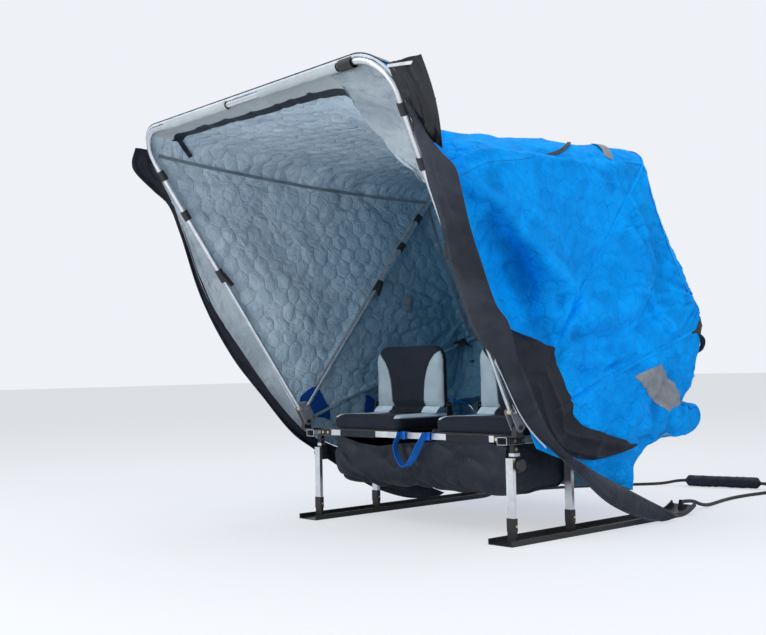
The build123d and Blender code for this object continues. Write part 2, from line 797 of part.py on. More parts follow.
def side_skirt_grid():
    """Grid of the right side skirt: free behind the hub, sewn to the hem, and free again at its tip."""
    rows = []
    for k, (y, z) in enumerate(SIDE_LOW):
        top = OUTER[len(INNER) - 1 - min(k, 9)][LAST]
        a = (top[0] + 1.3, top[1] + 30.0 * k / 9, top[2] + 12.0)
        if k < len(SIDE_START):
            a = (SIDE_X, *SIDE_START[k])
        if k > 9:
            a = (SIDE_X + 12.0, *SIDE_END[k - 10])
        b = (SIDE_X + 2.5 * k, y, z)
        rows.append([a, mix(a, b, 0.5), b])
    return rows


with BuildPart() as side_skirts:
    add(fabric([r[::-1] for r in side_skirt_grid()], SKIRT_T))
    add(fabric(mirrored([r[::-1] for r in side_skirt_grid()]), SKIRT_T))
side_skirts.part.label = "side_skirts"
export_step(side_skirts.part, "parts/side_skirts.step")

# Seats: a board on the rails, a cushion on it, and a back that folds down
BOARD_Z = ARM_TOP
CUSHION_Z = BOARD_Z + BOARD_T
CUSHION_TOP = CUSHION_Z + CUSHION_T
BACK_Z = CUSHION_TOP + BACK_GAP
AXIS_Y = BACK_Y + BACK_T / 2
AXIS_Z = BACK_Z + 26.0

with BuildPart() as boards:
    for x in SEAT_X:
        with BuildSketch(Plane.XY.offset(BOARD_Z)):
            with Locations((x, FRONT_Y + SEAT_D / 2 + 5)):
                Rectangle(SEAT_W - 40, SEAT_D - 20)
        extrude(amount=BOARD_T)
boards.part.label = "seat_boards"
export_step(boards.part, "parts/seat_boards.step")


def cushion_solid(x):
    """One seat cushion with its corners rounded in plan and over the top."""
    with BuildPart() as pad:
        with BuildSketch(Plane.XY.offset(CUSHION_Z)):
            with Locations((x, FRONT_Y + SEAT_D / 2)):
                RectangleRounded(SEAT_W, SEAT_D, 30)
        extrude(amount=CUSHION_T)
        fillet(pad.faces().sort_by(Axis.Z)[-1].edges(), radius=14)
    return pad.part


def back_solid(x):
    """One seat back, rounded at its top corners and along its edges."""
    with BuildPart() as pad:
        with BuildSketch(Plane.XZ.offset(-BACK_Y)):
            with Locations((x, BACK_Z + BACK_H / 2)):
                Rectangle(SEAT_W, BACK_H)
        extrude(amount=-BACK_T)
        tall = pad.edges().filter_by(Axis.Y).sort_by(Axis.Z)
        fillet(tall[-2:], radius=BACK_ROUND)
        fillet(pad.faces().sort_by(Axis.Z)[0].edges().filter_by(Axis.X), radius=18)
    return pad.part


with BuildPart() as left_cushion:
    add(cushion_solid(SEAT_X[0]))
left_cushion.part.label = "left_seat_cushion"
export_step(left_cushion.part, "parts/left_seat_cushion.step")

with BuildPart() as right_cushion:
    add(cushion_solid(SEAT_X[1]))
right_cushion.part.label = "right_seat_cushion"
export_step(right_cushion.part, "parts/right_seat_cushion.step")

with BuildPart() as left_back:
    add(back_solid(SEAT_X[0]))
left_back.part.label = "left_seat_back"
export_step(left_back.part, "parts/left_seat_back.step")

with BuildPart() as right_back:
    add(back_solid(SEAT_X[1]))
right_back.part.label = "right_seat_back"
export_step(right_back.part, "parts/right_seat_back.step")

# Hinge ears beside each cushion, and the pins that the backs turn on
EAR_OUT = SEAT_W / 2 + 6.0
with BuildPart() as ears:
    for x in SEAT_X:
        for side in (-1, 1):
            with BuildSketch(Plane.YZ.offset(x + side * EAR_OUT)):
                with Locations((AXIS_Y, AXIS_Z)):
                    Circle(13)
                with Locations((AXIS_Y + 6, BOARD_Z + 16)):
                    Rectangle(44, 32)
                make_hull()
                with Locations((AXIS_Y, AXIS_Z)):
                    Circle(PIN_R + FIT, mode=Mode.SUBTRACT)
            extrude(amount=side * EAR_T)
            with BuildSketch(Plane.XY.offset(BOARD_Z)):
                with Locations((x + side * (SEAT_W / 2 - 20 + (EAR_OUT + 20 - SEAT_W / 2) / 2), AXIS_Y + 6)):
                    Rectangle(EAR_OUT + 20 - SEAT_W / 2, 44)
            extrude(amount=BOARD_T)
ears.part.label = "hinge_ears"
export_step(ears.part, "parts/hinge_ears.step")


def pins_solid(x):
    """The two hinge pins of one seat back."""
    with BuildPart() as pins:
        for side in (-1, 1):
            with BuildSketch(Plane.YZ.offset(x + side * SEAT_W / 2)):
                with Locations((AXIS_Y, AXIS_Z)):
                    Circle(PIN_R)
            extrude(amount=side * 11)
    return pins.part


with BuildPart() as left_pins:
    add(pins_solid(SEAT_X[0]))
left_pins.part.label = "left_hinge_pins"
export_step(left_pins.part, "parts/left_hinge_pins.step")

with BuildPart() as right_pins:
    add(pins_solid(SEAT_X[1]))
right_pins.part.label = "right_hinge_pins"
export_step(right_pins.part, "parts/right_hinge_pins.step")

# Cargo sling under the seats, hung from the wraps on both rails
SLING_X = (-465.0, 560.0)
SLING_TOP = ((-465, 372.5), (-420, 372.5), (-300, 347), (-172, 338), (-35, 355), (210, 372.5), (467, 372.5), (560, 360))
SLING_LINE = ((7, 300), (15, 235), (40, 185), (90, 162), (180, 156), (290, 166), (345, 205), (360, 290), (361, 372.5))


def top_edge(x):
    """Height of the sling's front edge, which hangs from the wraps and dips between them."""
    for (x0, z0), (x1, z1) in zip(SLING_TOP, SLING_TOP[1:]):
        if x <= x1:
            return z0 + (z1 - z0) * (x - x0) / (x1 - x0)
    return SLING_TOP[-1][1]


def sling_grid():
    """Grid of the sling's inner face, highest at its left end."""
    rows = []
    for k in range(15):
        share = k / 14
        x = SLING_X[0] + (SLING_X[1] - SLING_X[0]) * share
        rise = 62.0 * (1 - share) ** 5 + 26.0 * share ** 6
        row = [(x, FRONT_Y + 6.5, top_edge(x))]
        row += [(x, FRONT_Y + y, z + rise * (300 - z) / 150 if z < 300 else z) for y, z in SLING_LINE]
        rows.append(row)
    return rows


with BuildPart() as sling:
    add(fabric(sling_grid(), SKIRT_T))
sling.part.label = "cargo_sling"
export_step(sling.part, "parts/cargo_sling.step")

# Black wraps that clamp the sling to the front and rear rails, open on top under the seats
with BuildPart() as wraps:
    for y in RAIL_Y:
        for x in WRAP_X:
            with BuildSketch(Plane.YZ.offset(x - WRAP_W / 2)):
                with Locations((y, RAIL_Z - WRAP_T / 2)):
                    Rectangle(RAIL + 2 * WRAP_T, RAIL + WRAP_T)
                with Locations((y, RAIL_Z)):
                    Rectangle(RAIL, RAIL, mode=Mode.SUBTRACT)
            extrude(amount=WRAP_W)
wraps.part.label = "rail_wraps"
export_step(wraps.part, "parts/rail_wraps.step")

# Blue pull strap: a loop of webbing in front of the rail, sewn to two keepers round it
LOOP = ((-12, 404), (-40, 352), (-20, 290), (22, 264), (66, 300), (100, 352), (135, 404))
LOOP_Y = RAIL_FACE - WEB_T - WEB_W
with BuildPart() as pull:
    with BuildLine(Plane.XZ.offset(-LOOP_Y)) as loop_path:
        FilletPolyline(*LOOP, radius=26)
    with BuildSketch(Plane(origin=loop_path.line @ 0, x_dir=(0, 1, 0), z_dir=loop_path.line % 0)):
        with Locations((WEB_W / 2, 0)):
            Rectangle(WEB_W, WEB_T)
    sweep(path=loop_path.line)
    for x in (LOOP[0][0], LOOP[-1][0]):
        with BuildSketch(Plane.YZ.offset(x - WEB_W / 2)):
            with Locations((RAIL_Y[0], RAIL_Z)):
                Rectangle(RAIL + 2 * WEB_T, RAIL + 2 * WEB_T)
                Rectangle(RAIL, RAIL, mode=Mode.SUBTRACT)
        extrude(amount=WEB_W)
pull.part.label = "pull_strap"
export_step(pull.part, "parts/pull_strap.step")

# Tow strap, rolled to a rope, from one ski's tow end through its pad to the other's
ROPE = (
    (-LEG_X, TOW_Y, TOW_Z), (-LEG_X, TOW_Y + 75, TOW_Z), (-573, 1080, 22), (-550, 1195, 8), (-505, 1325, 8),
    (-440, 1450, 8), (-368, 1565, 8), (-292, 1675, 8), (-215, 1770, 8), (-140, 1830, 12), (-60, 1858, 32),
    (20, 1874, 32), (130, 1904, 32), (250, 1934, 32), (345, 1948, 32), (420, 1942, 32), (478, 1905, 14),
    (500, 1835, 8), (492, 1740, 8), (478, 1625, 8), (480, 1500, 8), (498, 1375, 8), (526, 1260, 8),
    (552, 1155, 10), (572, 1065, 24), (LEG_X, TOW_Y + 75, TOW_Z), (LEG_X, TOW_Y, TOW_Z),
)
PAD_FROM = 10
PAD_TO = 15


def soft_radii(points):
    """As large a bend at each corner as its two runs allow."""
    found = []
    for a, b, c in zip(points, points[1:], points[2:]):
        a, b, c = Vector(*a), Vector(*b), Vector(*c)
        half = radians((b - a).get_angle(c - b)) / 2
        found.append(0.45 * min((b - a).length, (c - b).length) / tan(half))
    return found


ROPE_RADII = soft_radii(ROPE)
print("tow strap radii", [round(r) for r in ROPE_RADII])
with BuildPart() as rope:
    with BuildLine() as rope_path:
        FilletPolyline(*ROPE, radius=ROPE_RADII)
    with BuildSketch(Plane(origin=rope_path.line @ 0, z_dir=rope_path.line % 0)):
        Circle(ROPE_R)
    sweep(path=rope_path.line)
rope.part.label = "tow_strap"
export_step(rope.part, "parts/tow_strap.step")
ROPE_L = rope_path.wires()[0].length
print("tow strap length", round(ROPE_L), "volume share", round(rope.part.volume / (pi * ROPE_R ** 2 * ROPE_L), 4))

# The pad that the strap runs through
with BuildPart() as tow_pad:
    with BuildLine() as pad_path:
        FilletPolyline(
            mix(ROPE[PAD_FROM], ROPE[PAD_FROM + 1], 0.5), *ROPE[PAD_FROM + 1:PAD_TO],
            mix(ROPE[PAD_TO - 1], ROPE[PAD_TO], 0.5), radius=ROPE_RADII[PAD_FROM:PAD_TO - 1],
        )
    with BuildSketch(Plane(origin=pad_path.line @ 0, z_dir=pad_path.line % 0)):
        Circle(PAD_R)
        Circle(ROPE_R + FIT, mode=Mode.SUBTRACT)
    sweep(path=pad_path.line)
tow_pad.part.label = "tow_pad"
export_step(tow_pad.part, "parts/tow_pad.step")
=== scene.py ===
"""Looks of the two-seat flip-over ice fishing hut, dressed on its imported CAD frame."""
from __future__ import annotations

import json
import logging
import math
from dataclasses import dataclass, field
from enum import Enum
from typing import Callable, Sequence

import bmesh
import bpy
import numpy as np
from mathutils import Matrix, Vector

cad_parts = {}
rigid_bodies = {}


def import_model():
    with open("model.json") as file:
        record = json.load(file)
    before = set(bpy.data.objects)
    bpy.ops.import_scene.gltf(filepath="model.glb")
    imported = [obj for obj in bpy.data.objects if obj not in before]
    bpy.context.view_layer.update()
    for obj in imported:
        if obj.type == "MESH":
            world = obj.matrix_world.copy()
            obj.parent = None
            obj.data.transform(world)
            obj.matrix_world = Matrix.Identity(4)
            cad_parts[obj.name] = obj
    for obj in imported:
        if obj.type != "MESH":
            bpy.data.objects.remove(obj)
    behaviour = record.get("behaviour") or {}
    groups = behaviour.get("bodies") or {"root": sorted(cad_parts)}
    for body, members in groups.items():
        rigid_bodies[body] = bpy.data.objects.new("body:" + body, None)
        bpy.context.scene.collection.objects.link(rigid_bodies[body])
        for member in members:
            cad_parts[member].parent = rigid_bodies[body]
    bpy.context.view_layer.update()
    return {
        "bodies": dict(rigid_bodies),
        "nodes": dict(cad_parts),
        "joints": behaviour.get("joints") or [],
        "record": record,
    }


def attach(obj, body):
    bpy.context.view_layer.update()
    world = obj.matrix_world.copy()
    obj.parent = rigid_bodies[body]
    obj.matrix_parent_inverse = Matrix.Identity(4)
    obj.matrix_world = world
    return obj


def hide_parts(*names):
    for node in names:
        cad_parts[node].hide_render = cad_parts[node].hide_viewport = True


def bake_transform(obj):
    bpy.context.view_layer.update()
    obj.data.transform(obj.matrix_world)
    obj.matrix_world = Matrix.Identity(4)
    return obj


LOG = logging.getLogger("hut")
Array = np.ndarray
Colour = tuple[float, float, float]
MM = 0.001
QUILT = 0.078


class Body(Enum):
    """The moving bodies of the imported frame."""

    CHASSIS = "chassis"
    CANOPY = "canopy"
    LEFT_BACK = "left_back"
    RIGHT_BACK = "right_back"


class Side(Enum):
    """Which side of the hut a piece is on, as its sign along X."""

    LEFT = -1
    RIGHT = 1


def operator(operation: str, turned: bool = False) -> Callable[[Sock, Value], Sock]:
    """Makes the method behind one Python operator.

    Args:
        operation: The Math node's operation.
        turned: Whether the socket stands on the right.

    Returns:
        The method.
    """

    def act(self: Sock, other: Value) -> Sock:
        """One Math node on this socket and another value."""
        return self.shader.math(operation, *((other, self) if turned else (self, other)))

    return act


class Sock:
    """A shader socket that takes part in Python expressions."""

    __add__, __radd__ = operator("ADD"), operator("ADD", True)
    __sub__, __rsub__ = operator("SUBTRACT"), operator("SUBTRACT", True)
    __mul__, __rmul__ = operator("MULTIPLY"), operator("MULTIPLY", True)
    __truediv__, __pow__, __mod__ = operator("DIVIDE"), operator("POWER"), operator("FLOORED_MODULO")

    def __init__(self, shader: Shader, socket: bpy.types.NodeSocket) -> None:
        """Keeps the socket and the shader that it belongs to."""
        self.shader = shader
        self.socket = socket

    def __abs__(self) -> Sock:
        """The absolute value as a Math node."""
        return self.shader.math("ABSOLUTE", self)


Value = Sock | float


class Shader:
    """A material, or a world, that is written as expressions on sockets."""

    def __init__(self, name: str, world: bpy.types.World | None = None) -> None:
        """Starts an empty node tree.

        Args:
            name: The material's name.
            world: The world that is written instead of a material.
        """
        self.material = world or bpy.data.materials.new(name)
        self.material.use_nodes = True
        self.tree = self.material.node_tree
        self.tree.nodes.clear()

    def node(self, kind: str, settings: dict | None = None, values: dict | None = None,
             output: int | str = 0) -> Sock:
        """Adds one node.

        Args:
            kind: The node's type.
            settings: Its properties, or a ramp's stops, which are set first.
            values: What its inputs get, a number or a link, by name or index.
            output: Which output comes back.

        Returns:
            The chosen output.
        """
        made = self.tree.nodes.new(kind)
        for key, value in (settings or {}).items():
            if key == "stops":
                ramp = made.color_ramp
                while len(ramp.elements) < len(value):
                    ramp.elements.new(0.5)
                for element, (place, shade) in zip(ramp.elements, value):
                    element.position = place
                    element.color = (shade, shade, shade, 1) if isinstance(shade, float) else (*shade, 1)
            else:
                setattr(made, key, value)
        for key, value in (values or {}).items():
            if isinstance(value, Sock):
                self.tree.links.new(value.socket, made.inputs[key])
            else:
                made.inputs[key].default_value = value
        return Sock(self, made.outputs[output])

    def math(self, operation: str, *values: Value) -> Sock:
        """One Math node on numbers or sockets."""
        return self.node("ShaderNodeMath", {"operation": operation}, dict(enumerate(values)))

    def least(self, a: Sock, b: Value) -> Sock:
        """The smaller of two values."""
        return self.math("MINIMUM", a, b)

    def most(self, a: Sock, b: Value) -> Sock:
        """The larger of two values."""
        return self.math("MAXIMUM", a, b)

    def step(self, value: Sock, low: float, high: float) -> Sock:
        """Smooth rise of a value from 0 at low to 1 at high."""
        return self.node(
            "ShaderNodeMapRange", {"interpolation_type": "SMOOTHSTEP"},
            {"Value": value, "From Min": low, "From Max": high},
        )

    def mix(self, share: Value, a: Sock | Colour, b: Sock | Colour) -> Sock:
        """A colour between a (share 0) and b (share 1)."""
        full = [x if isinstance(x, Sock) else (*x, 1.0) for x in (a, b)]
        return self.node("ShaderNodeMix", {"data_type": "RGBA"}, {0: share, 6: full[0], 7: full[1]}, 2)

    def here(self) -> Sock:
        """Object coordinates, in metres."""
        return self.node("ShaderNodeTexCoord", output="Object")

    def cloth(self) -> Sock:
        """The fabric's own flat coordinates, in metres."""
        return self.node("ShaderNodeUVMap", {"uv_map": "cloth"})

    def parts(self, vector: Sock) -> tuple[Sock, Sock, Sock]:
        """The three numbers of a vector."""
        split = self.node("ShaderNodeSeparateXYZ", values={0: vector})
        return tuple(Sock(self, out) for out in split.socket.node.outputs)

    def scaled(self, vector: Sock, by: Sequence[float]) -> Sock:
        """A vector with each part multiplied."""
        return self.node("ShaderNodeVectorMath", {"operation": "MULTIPLY"}, {0: vector, 1: tuple(by)})

    def shifted(self, vector: Sock, by: Sock, amount: float) -> Sock:
        """A vector pushed about by a colour of noise."""
        push = self.node("ShaderNodeVectorMath", {"operation": "MULTIPLY_ADD"},
                         {0: by, 1: (amount,) * 3, 2: (-amount / 2,) * 3})
        return self.node("ShaderNodeVectorMath", {"operation": "ADD"}, {0: vector, 1: push})

    def noise(self, vector: Sock, scale: float, detail: float = 2.0, rough: float = 0.5,
              colour: bool = False) -> Sock:
        """Seeded noise at a scale in 1/m."""
        return self.node(
            "ShaderNodeTexNoise", {"noise_dimensions": "3D"},
            {"Vector": vector, "Scale": scale, "Detail": detail, "Roughness": rough}, 1 if colour else 0,
        )

    def bump(self, height: Sock, metres: float, strength: float = 1.0, under: Sock | None = None) -> Sock:
        """Bends a normal by a height.

        Args:
            height: 0 to 1.
            metres: What a height of 1 stands for.
            strength: Share of the bend.
            under: Another normal to bend, if any.

        Returns:
            The bent normal.
        """
        values = {"Height": height, "Distance": metres, "Strength": strength}
        if under is not None:
            values["Normal"] = under
        return self.node("ShaderNodeBump", values=values)

    def attribute(self, name: str) -> Sock:
        """A number that the mesh carries."""
        return self.node("ShaderNodeAttribute", {"attribute_name": name}, output="Fac")

    def wave(self, first: Sock, second: Sock) -> Sock:
        """The product of two sine waves, for a weave or a bead grid."""
        return self.math("SINE", first) * self.math("SINE", second)

    def surface(self, colour: Sock | Colour, rough: Value, metal: float = 0.0,
                normal: Sock | None = None, fixed: dict | None = None) -> bpy.types.Material:
        """Finishes the material with a Principled surface.

        Args:
            colour: Base colour.
            rough: Roughness.
            metal: Metallic share.
            normal: A bent normal, if any.
            fixed: Numbers for other sockets, the same all over.

        Returns:
            The material.
        """
        values = {
            "Base Color": colour if isinstance(colour, Sock) else (*colour, 1.0),
            "Roughness": rough, "Metallic": metal,
        }
        if normal is not None:
            values["Normal"] = normal
        values.update(fixed or {})
        return self.closed(self.node("ShaderNodeBsdfPrincipled", values=values))

    def closed(self, shade: Sock, kind: str = "ShaderNodeOutputMaterial") -> bpy.types.Material:
        """Links a surface to the output.

        Args:
            shade: The surface.
            kind: Kind of output node.

        Returns:
            The material.
        """
        out = self.tree.nodes.new(kind)
        self.tree.links.new(shade.socket, out.inputs["Surface"])
        return self.material


def dimmed(colour: Colour, by: float) -> Colour:
    """A colour, each part multiplied."""
    return tuple(part * by for part in colour)


def hex_shader(sh: Shader, flat: Sock, cell: float) -> Sock:
    """The quilting pattern in a material.

    Args:
        sh: The material's shader.
        flat: Flat coordinates in metres.
        cell: Width of a hexagon in metres.

    Returns:
        How near a place is to a quilting line: 0 at a cell's middle and 1 on the line.
    """
    x, y, _ = sh.parts(sh.scaled(flat, (1 / cell, 1 / cell, 1.0)))
    tall = math.sqrt(3)
    ax = x % 1.0 - 0.5
    ay = y % tall - tall / 2
    bx = (x + 0.5) % 1.0 - 0.5
    by = (y + tall / 2) % tall - tall / 2
    first = sh.math("LESS_THAN", ax * ax + ay * ay, bx * bx + by * by)
    gx = abs(first * ax + (1 - first) * bx)
    gy = abs(first * ay + (1 - first) * by)
    return 2 * sh.most(gx, gx * 0.5 + gy * (tall / 2))


@dataclass(frozen=True)
class QuiltCloth:
    """Quilted fabric: hexagons stitched through the padding, with a fine weave, and painted shade in its fold
    valleys and towards the back inside.
    """

    name: str
    colour: Colour
    shade: Colour
    cell: float = QUILT
    line: float = 0.0016
    puff: float = 0.003
    crease: float = 0.0035
    rough: float = 0.62
    line_dark: float = 0.18
    shine: float = 0.2
    wrinkle: float = 0.004
    # Colour of painted shade inside: darker and bluer towards the back, standing in for light that shines
    # through the shell.
    painted_inner_shade: Colour | None = None

    def build(self) -> bpy.types.Material:
        """The node material."""
        sh = Shader(self.name)
        here = sh.here()
        wobble = sh.noise(here, 7.0, 2.0, 0.5, True)
        edge = hex_shader(sh, sh.cloth(), self.cell)
        line = sh.step(edge, 0.9, 0.985)
        cushion = 1 - edge ** 3.0
        crease = sh.noise(sh.shifted(here, wobble, 0.12), 19.0, 5.0, 0.62)
        fold = sh.noise(sh.shifted(here, wobble, 0.3), 6.0, 3.0, 0.55)
        weave = sh.noise(here, 900.0, 1.0)
        ridge = abs(sh.noise(sh.scaled(sh.shifted(here, wobble, 0.2), (0.8, 0.7, 1.5)), 8.0, 4.0, 0.55) - 0.5)
        small = abs(sh.noise(sh.shifted(here, wobble, 0.1), 26.0, 3.0, 0.5) - 0.5)
        height = cushion * self.puff + crease * self.crease - line * self.line
        height = height + sh.least(ridge, 0.16) * self.wrinkle * 4 + sh.least(small, 0.14) * self.wrinkle
        soft = sh.bump(height, 1.0, 1.0)
        normal = sh.bump(weave, 0.00012, 0.6, soft)
        base = sh.mix(sh.step(fold, 0.32, 0.7), self.shade, self.colour)
        if self.painted_inner_shade is not None:
            # painted shade: darker and bluer towards the back and lower down inside
            _, y, z = sh.parts(here)
            inward = sh.step(y - z * 0.25 + fold * 0.25, -0.75, 0.75)
            base = sh.mix(inward * 0.9, base, self.painted_inner_shade)
        base = sh.mix(line * self.line_dark, base, dimmed(self.shade, 0.45))
        # painted shade from the mesh's hollow value: darker in fold valleys and on the rear panel past the
        # back seam
        base = sh.mix(sh.attribute("hollow") * 0.42, base, dimmed(self.shade, 0.42))
        rough = self.rough + crease * 0.16 - 0.06
        return sh.surface(base, rough, 0.0, normal, {"Specular IOR Level": self.shine})


@dataclass(frozen=True)
class CoatedCloth:
    """Coated woven cloth with creases that catch the light."""

    name: str
    colour: Colour
    shade: Colour
    rough: float = 0.5
    crease: float = 0.003
    weave: float = 650.0
    stretch: tuple[float, float, float] = (1.0, 1.0, 1.0)
    shine: float = 0.3

    def build(self) -> bpy.types.Material:
        """The node material."""
        sh = Shader(self.name)
        here = sh.here()
        wobble = sh.noise(here, 5.0, 2.0, 0.5, True)
        way = sh.scaled(sh.shifted(here, wobble, 0.16), self.stretch)
        crease = sh.noise(way, 14.0, 5.0, 0.6)
        broad = sh.noise(way, 3.5, 3.0, 0.5)
        x, y, z = sh.parts(sh.scaled(here, (self.weave,) * 3))
        grid = sh.wave(x + y, z * 1.3 + y)
        soft = sh.bump(crease, self.crease, 1.0)
        normal = sh.bump(grid, 0.00008, 0.5, soft)
        base = sh.mix(sh.step(broad + crease * 0.4, 0.45, 0.95), self.shade, self.colour)
        rough = self.rough + broad * 0.2 - 0.1
        return sh.surface(base, rough, 0.0, normal, {"Specular IOR Level": self.shine})


@dataclass(frozen=True)
class PadCloth:
    """Seat cloth in two colours, split where the mesh's own panel value says."""

    name: str
    dark: Colour
    light: Colour
    weave: float = 900.0

    def build(self) -> bpy.types.Material:
        """The node material."""
        sh = Shader(self.name)
        here = sh.here()
        side = sh.attribute("panel")
        split = sh.step(side, -0.0012, 0.0012)
        seam = 1 - sh.step(abs(side), 0.0012, 0.0042)
        crease = sh.noise(here, 16.0, 4.0, 0.55)
        x, y, z = sh.parts(sh.scaled(here, (self.weave,) * 3))
        rib = sh.wave(x + z * 0.5, z + y)
        soft = sh.bump(crease * 0.0035 - seam * 0.0022, 1.0, 1.0)
        normal = sh.bump(rib, 0.0001, 0.5, soft)
        tone = sh.step(crease, 0.3, 0.7)
        dark = sh.mix(tone, dimmed(self.dark, 0.75), self.dark)
        light = sh.mix(tone, dimmed(self.light, 0.85), self.light)
        base = sh.mix(split, dark, light)
        base = sh.mix(seam * 0.5, base, dimmed(self.dark, 0.6))
        fixed = {"Specular IOR Level": 0.18, "Sheen Weight": 0.05}
        return sh.surface(base, 0.72 + crease * 0.12, 0.0, normal, fixed)


@dataclass(frozen=True)
class Webbing:
    """Woven webbing with ribs across it."""

    name: str
    colour: Colour
    rib: float = 1400.0
    rough: float = 0.6

    def build(self) -> bpy.types.Material:
        """The node material."""
        sh = Shader(self.name)
        here = sh.here()
        x, y, z = sh.parts(sh.scaled(here, (self.rib,) * 3))
        wave = sh.wave(x + z, y * 1.7)
        worn = sh.noise(here, 30.0, 3.0, 0.6)
        normal = sh.bump(wave, 0.0003, 0.7, sh.bump(worn, 0.001, 0.6))
        base = sh.mix(sh.step(worn, 0.35, 0.7), dimmed(self.colour, 0.7), self.colour)
        return sh.surface(base, self.rough + worn * 0.15, 0.0, normal, {"Specular IOR Level": 0.35})


@dataclass(frozen=True)
class Metal:
    """Drawn or extruded metal with fine lines, smudges and worn spots."""

    name: str
    colour: Colour
    rough: float = 0.3
    draw: tuple[float, float, float] = (1.0, 1.0, 12.0)
    metal: float = 1.0

    def build(self) -> bpy.types.Material:
        """The node material."""
        sh = Shader(self.name)
        here = sh.here()
        lines = sh.noise(sh.scaled(here, self.draw), 220.0, 2.0, 0.6)
        smudge = sh.noise(here, 22.0, 3.0, 0.6)
        spot = sh.step(sh.noise(here, 140.0, 2.0, 0.5), 0.62, 0.74)
        normal = sh.bump(lines, 0.00012, 0.5)
        base = sh.mix(sh.step(smudge, 0.35, 0.75), dimmed(self.colour, 0.84), self.colour)
        base = sh.mix(spot * 0.18, base, dimmed(self.colour, 0.45))
        rough = self.rough + smudge * 0.22 + spot * 0.1 - 0.08
        return sh.surface(base, rough, self.metal, normal)


@dataclass(frozen=True)
class Coat:
    """Powder coat or moulded plastic: a grained skin, paler where it is rubbed."""

    name: str
    colour: Colour
    rough: float = 0.5
    grain: float = 420.0
    depth: float = 0.00015

    def build(self) -> bpy.types.Material:
        """The node material."""
        sh = Shader(self.name)
        here = sh.here()
        grain = sh.noise(here, self.grain, 2.0, 0.5)
        broad = sh.noise(here, 15.0, 3.0, 0.6)
        rub = sh.step(sh.noise(here, 60.0, 4.0, 0.65), 0.6, 0.75)
        normal = sh.bump(grain, self.depth, 0.6)
        base = sh.mix(sh.step(broad, 0.35, 0.7), dimmed(self.colour, 0.8), self.colour)
        base = sh.mix(rub * 0.25, base, tuple(min(1.0, c * 1.6 + 0.02) for c in self.colour))
        return sh.surface(base, self.rough + broad * 0.16 - 0.08, 0.0, normal, {"Specular IOR Level": 0.45})


@dataclass(frozen=True)
class Strip:
    """Silver reflective tape with a fine bead grid."""

    name: str
    colour: Colour = (0.62, 0.64, 0.66)

    def build(self) -> bpy.types.Material:
        """The node material."""
        sh = Shader(self.name)
        here = sh.here()
        x, y, z = sh.parts(sh.scaled(here, (1500.0,) * 3))
        bead = sh.wave(x + y, z + x)
        worn = sh.noise(here, 25.0, 3.0, 0.6)
        base = sh.mix(sh.step(worn, 0.35, 0.7), dimmed(self.colour, 0.72), self.colour)
        normal = sh.bump(bead, 0.0001, 0.5)
        return sh.surface(base, 0.36 + worn * 0.2, 0.25, normal, {"Specular IOR Level": 0.6})


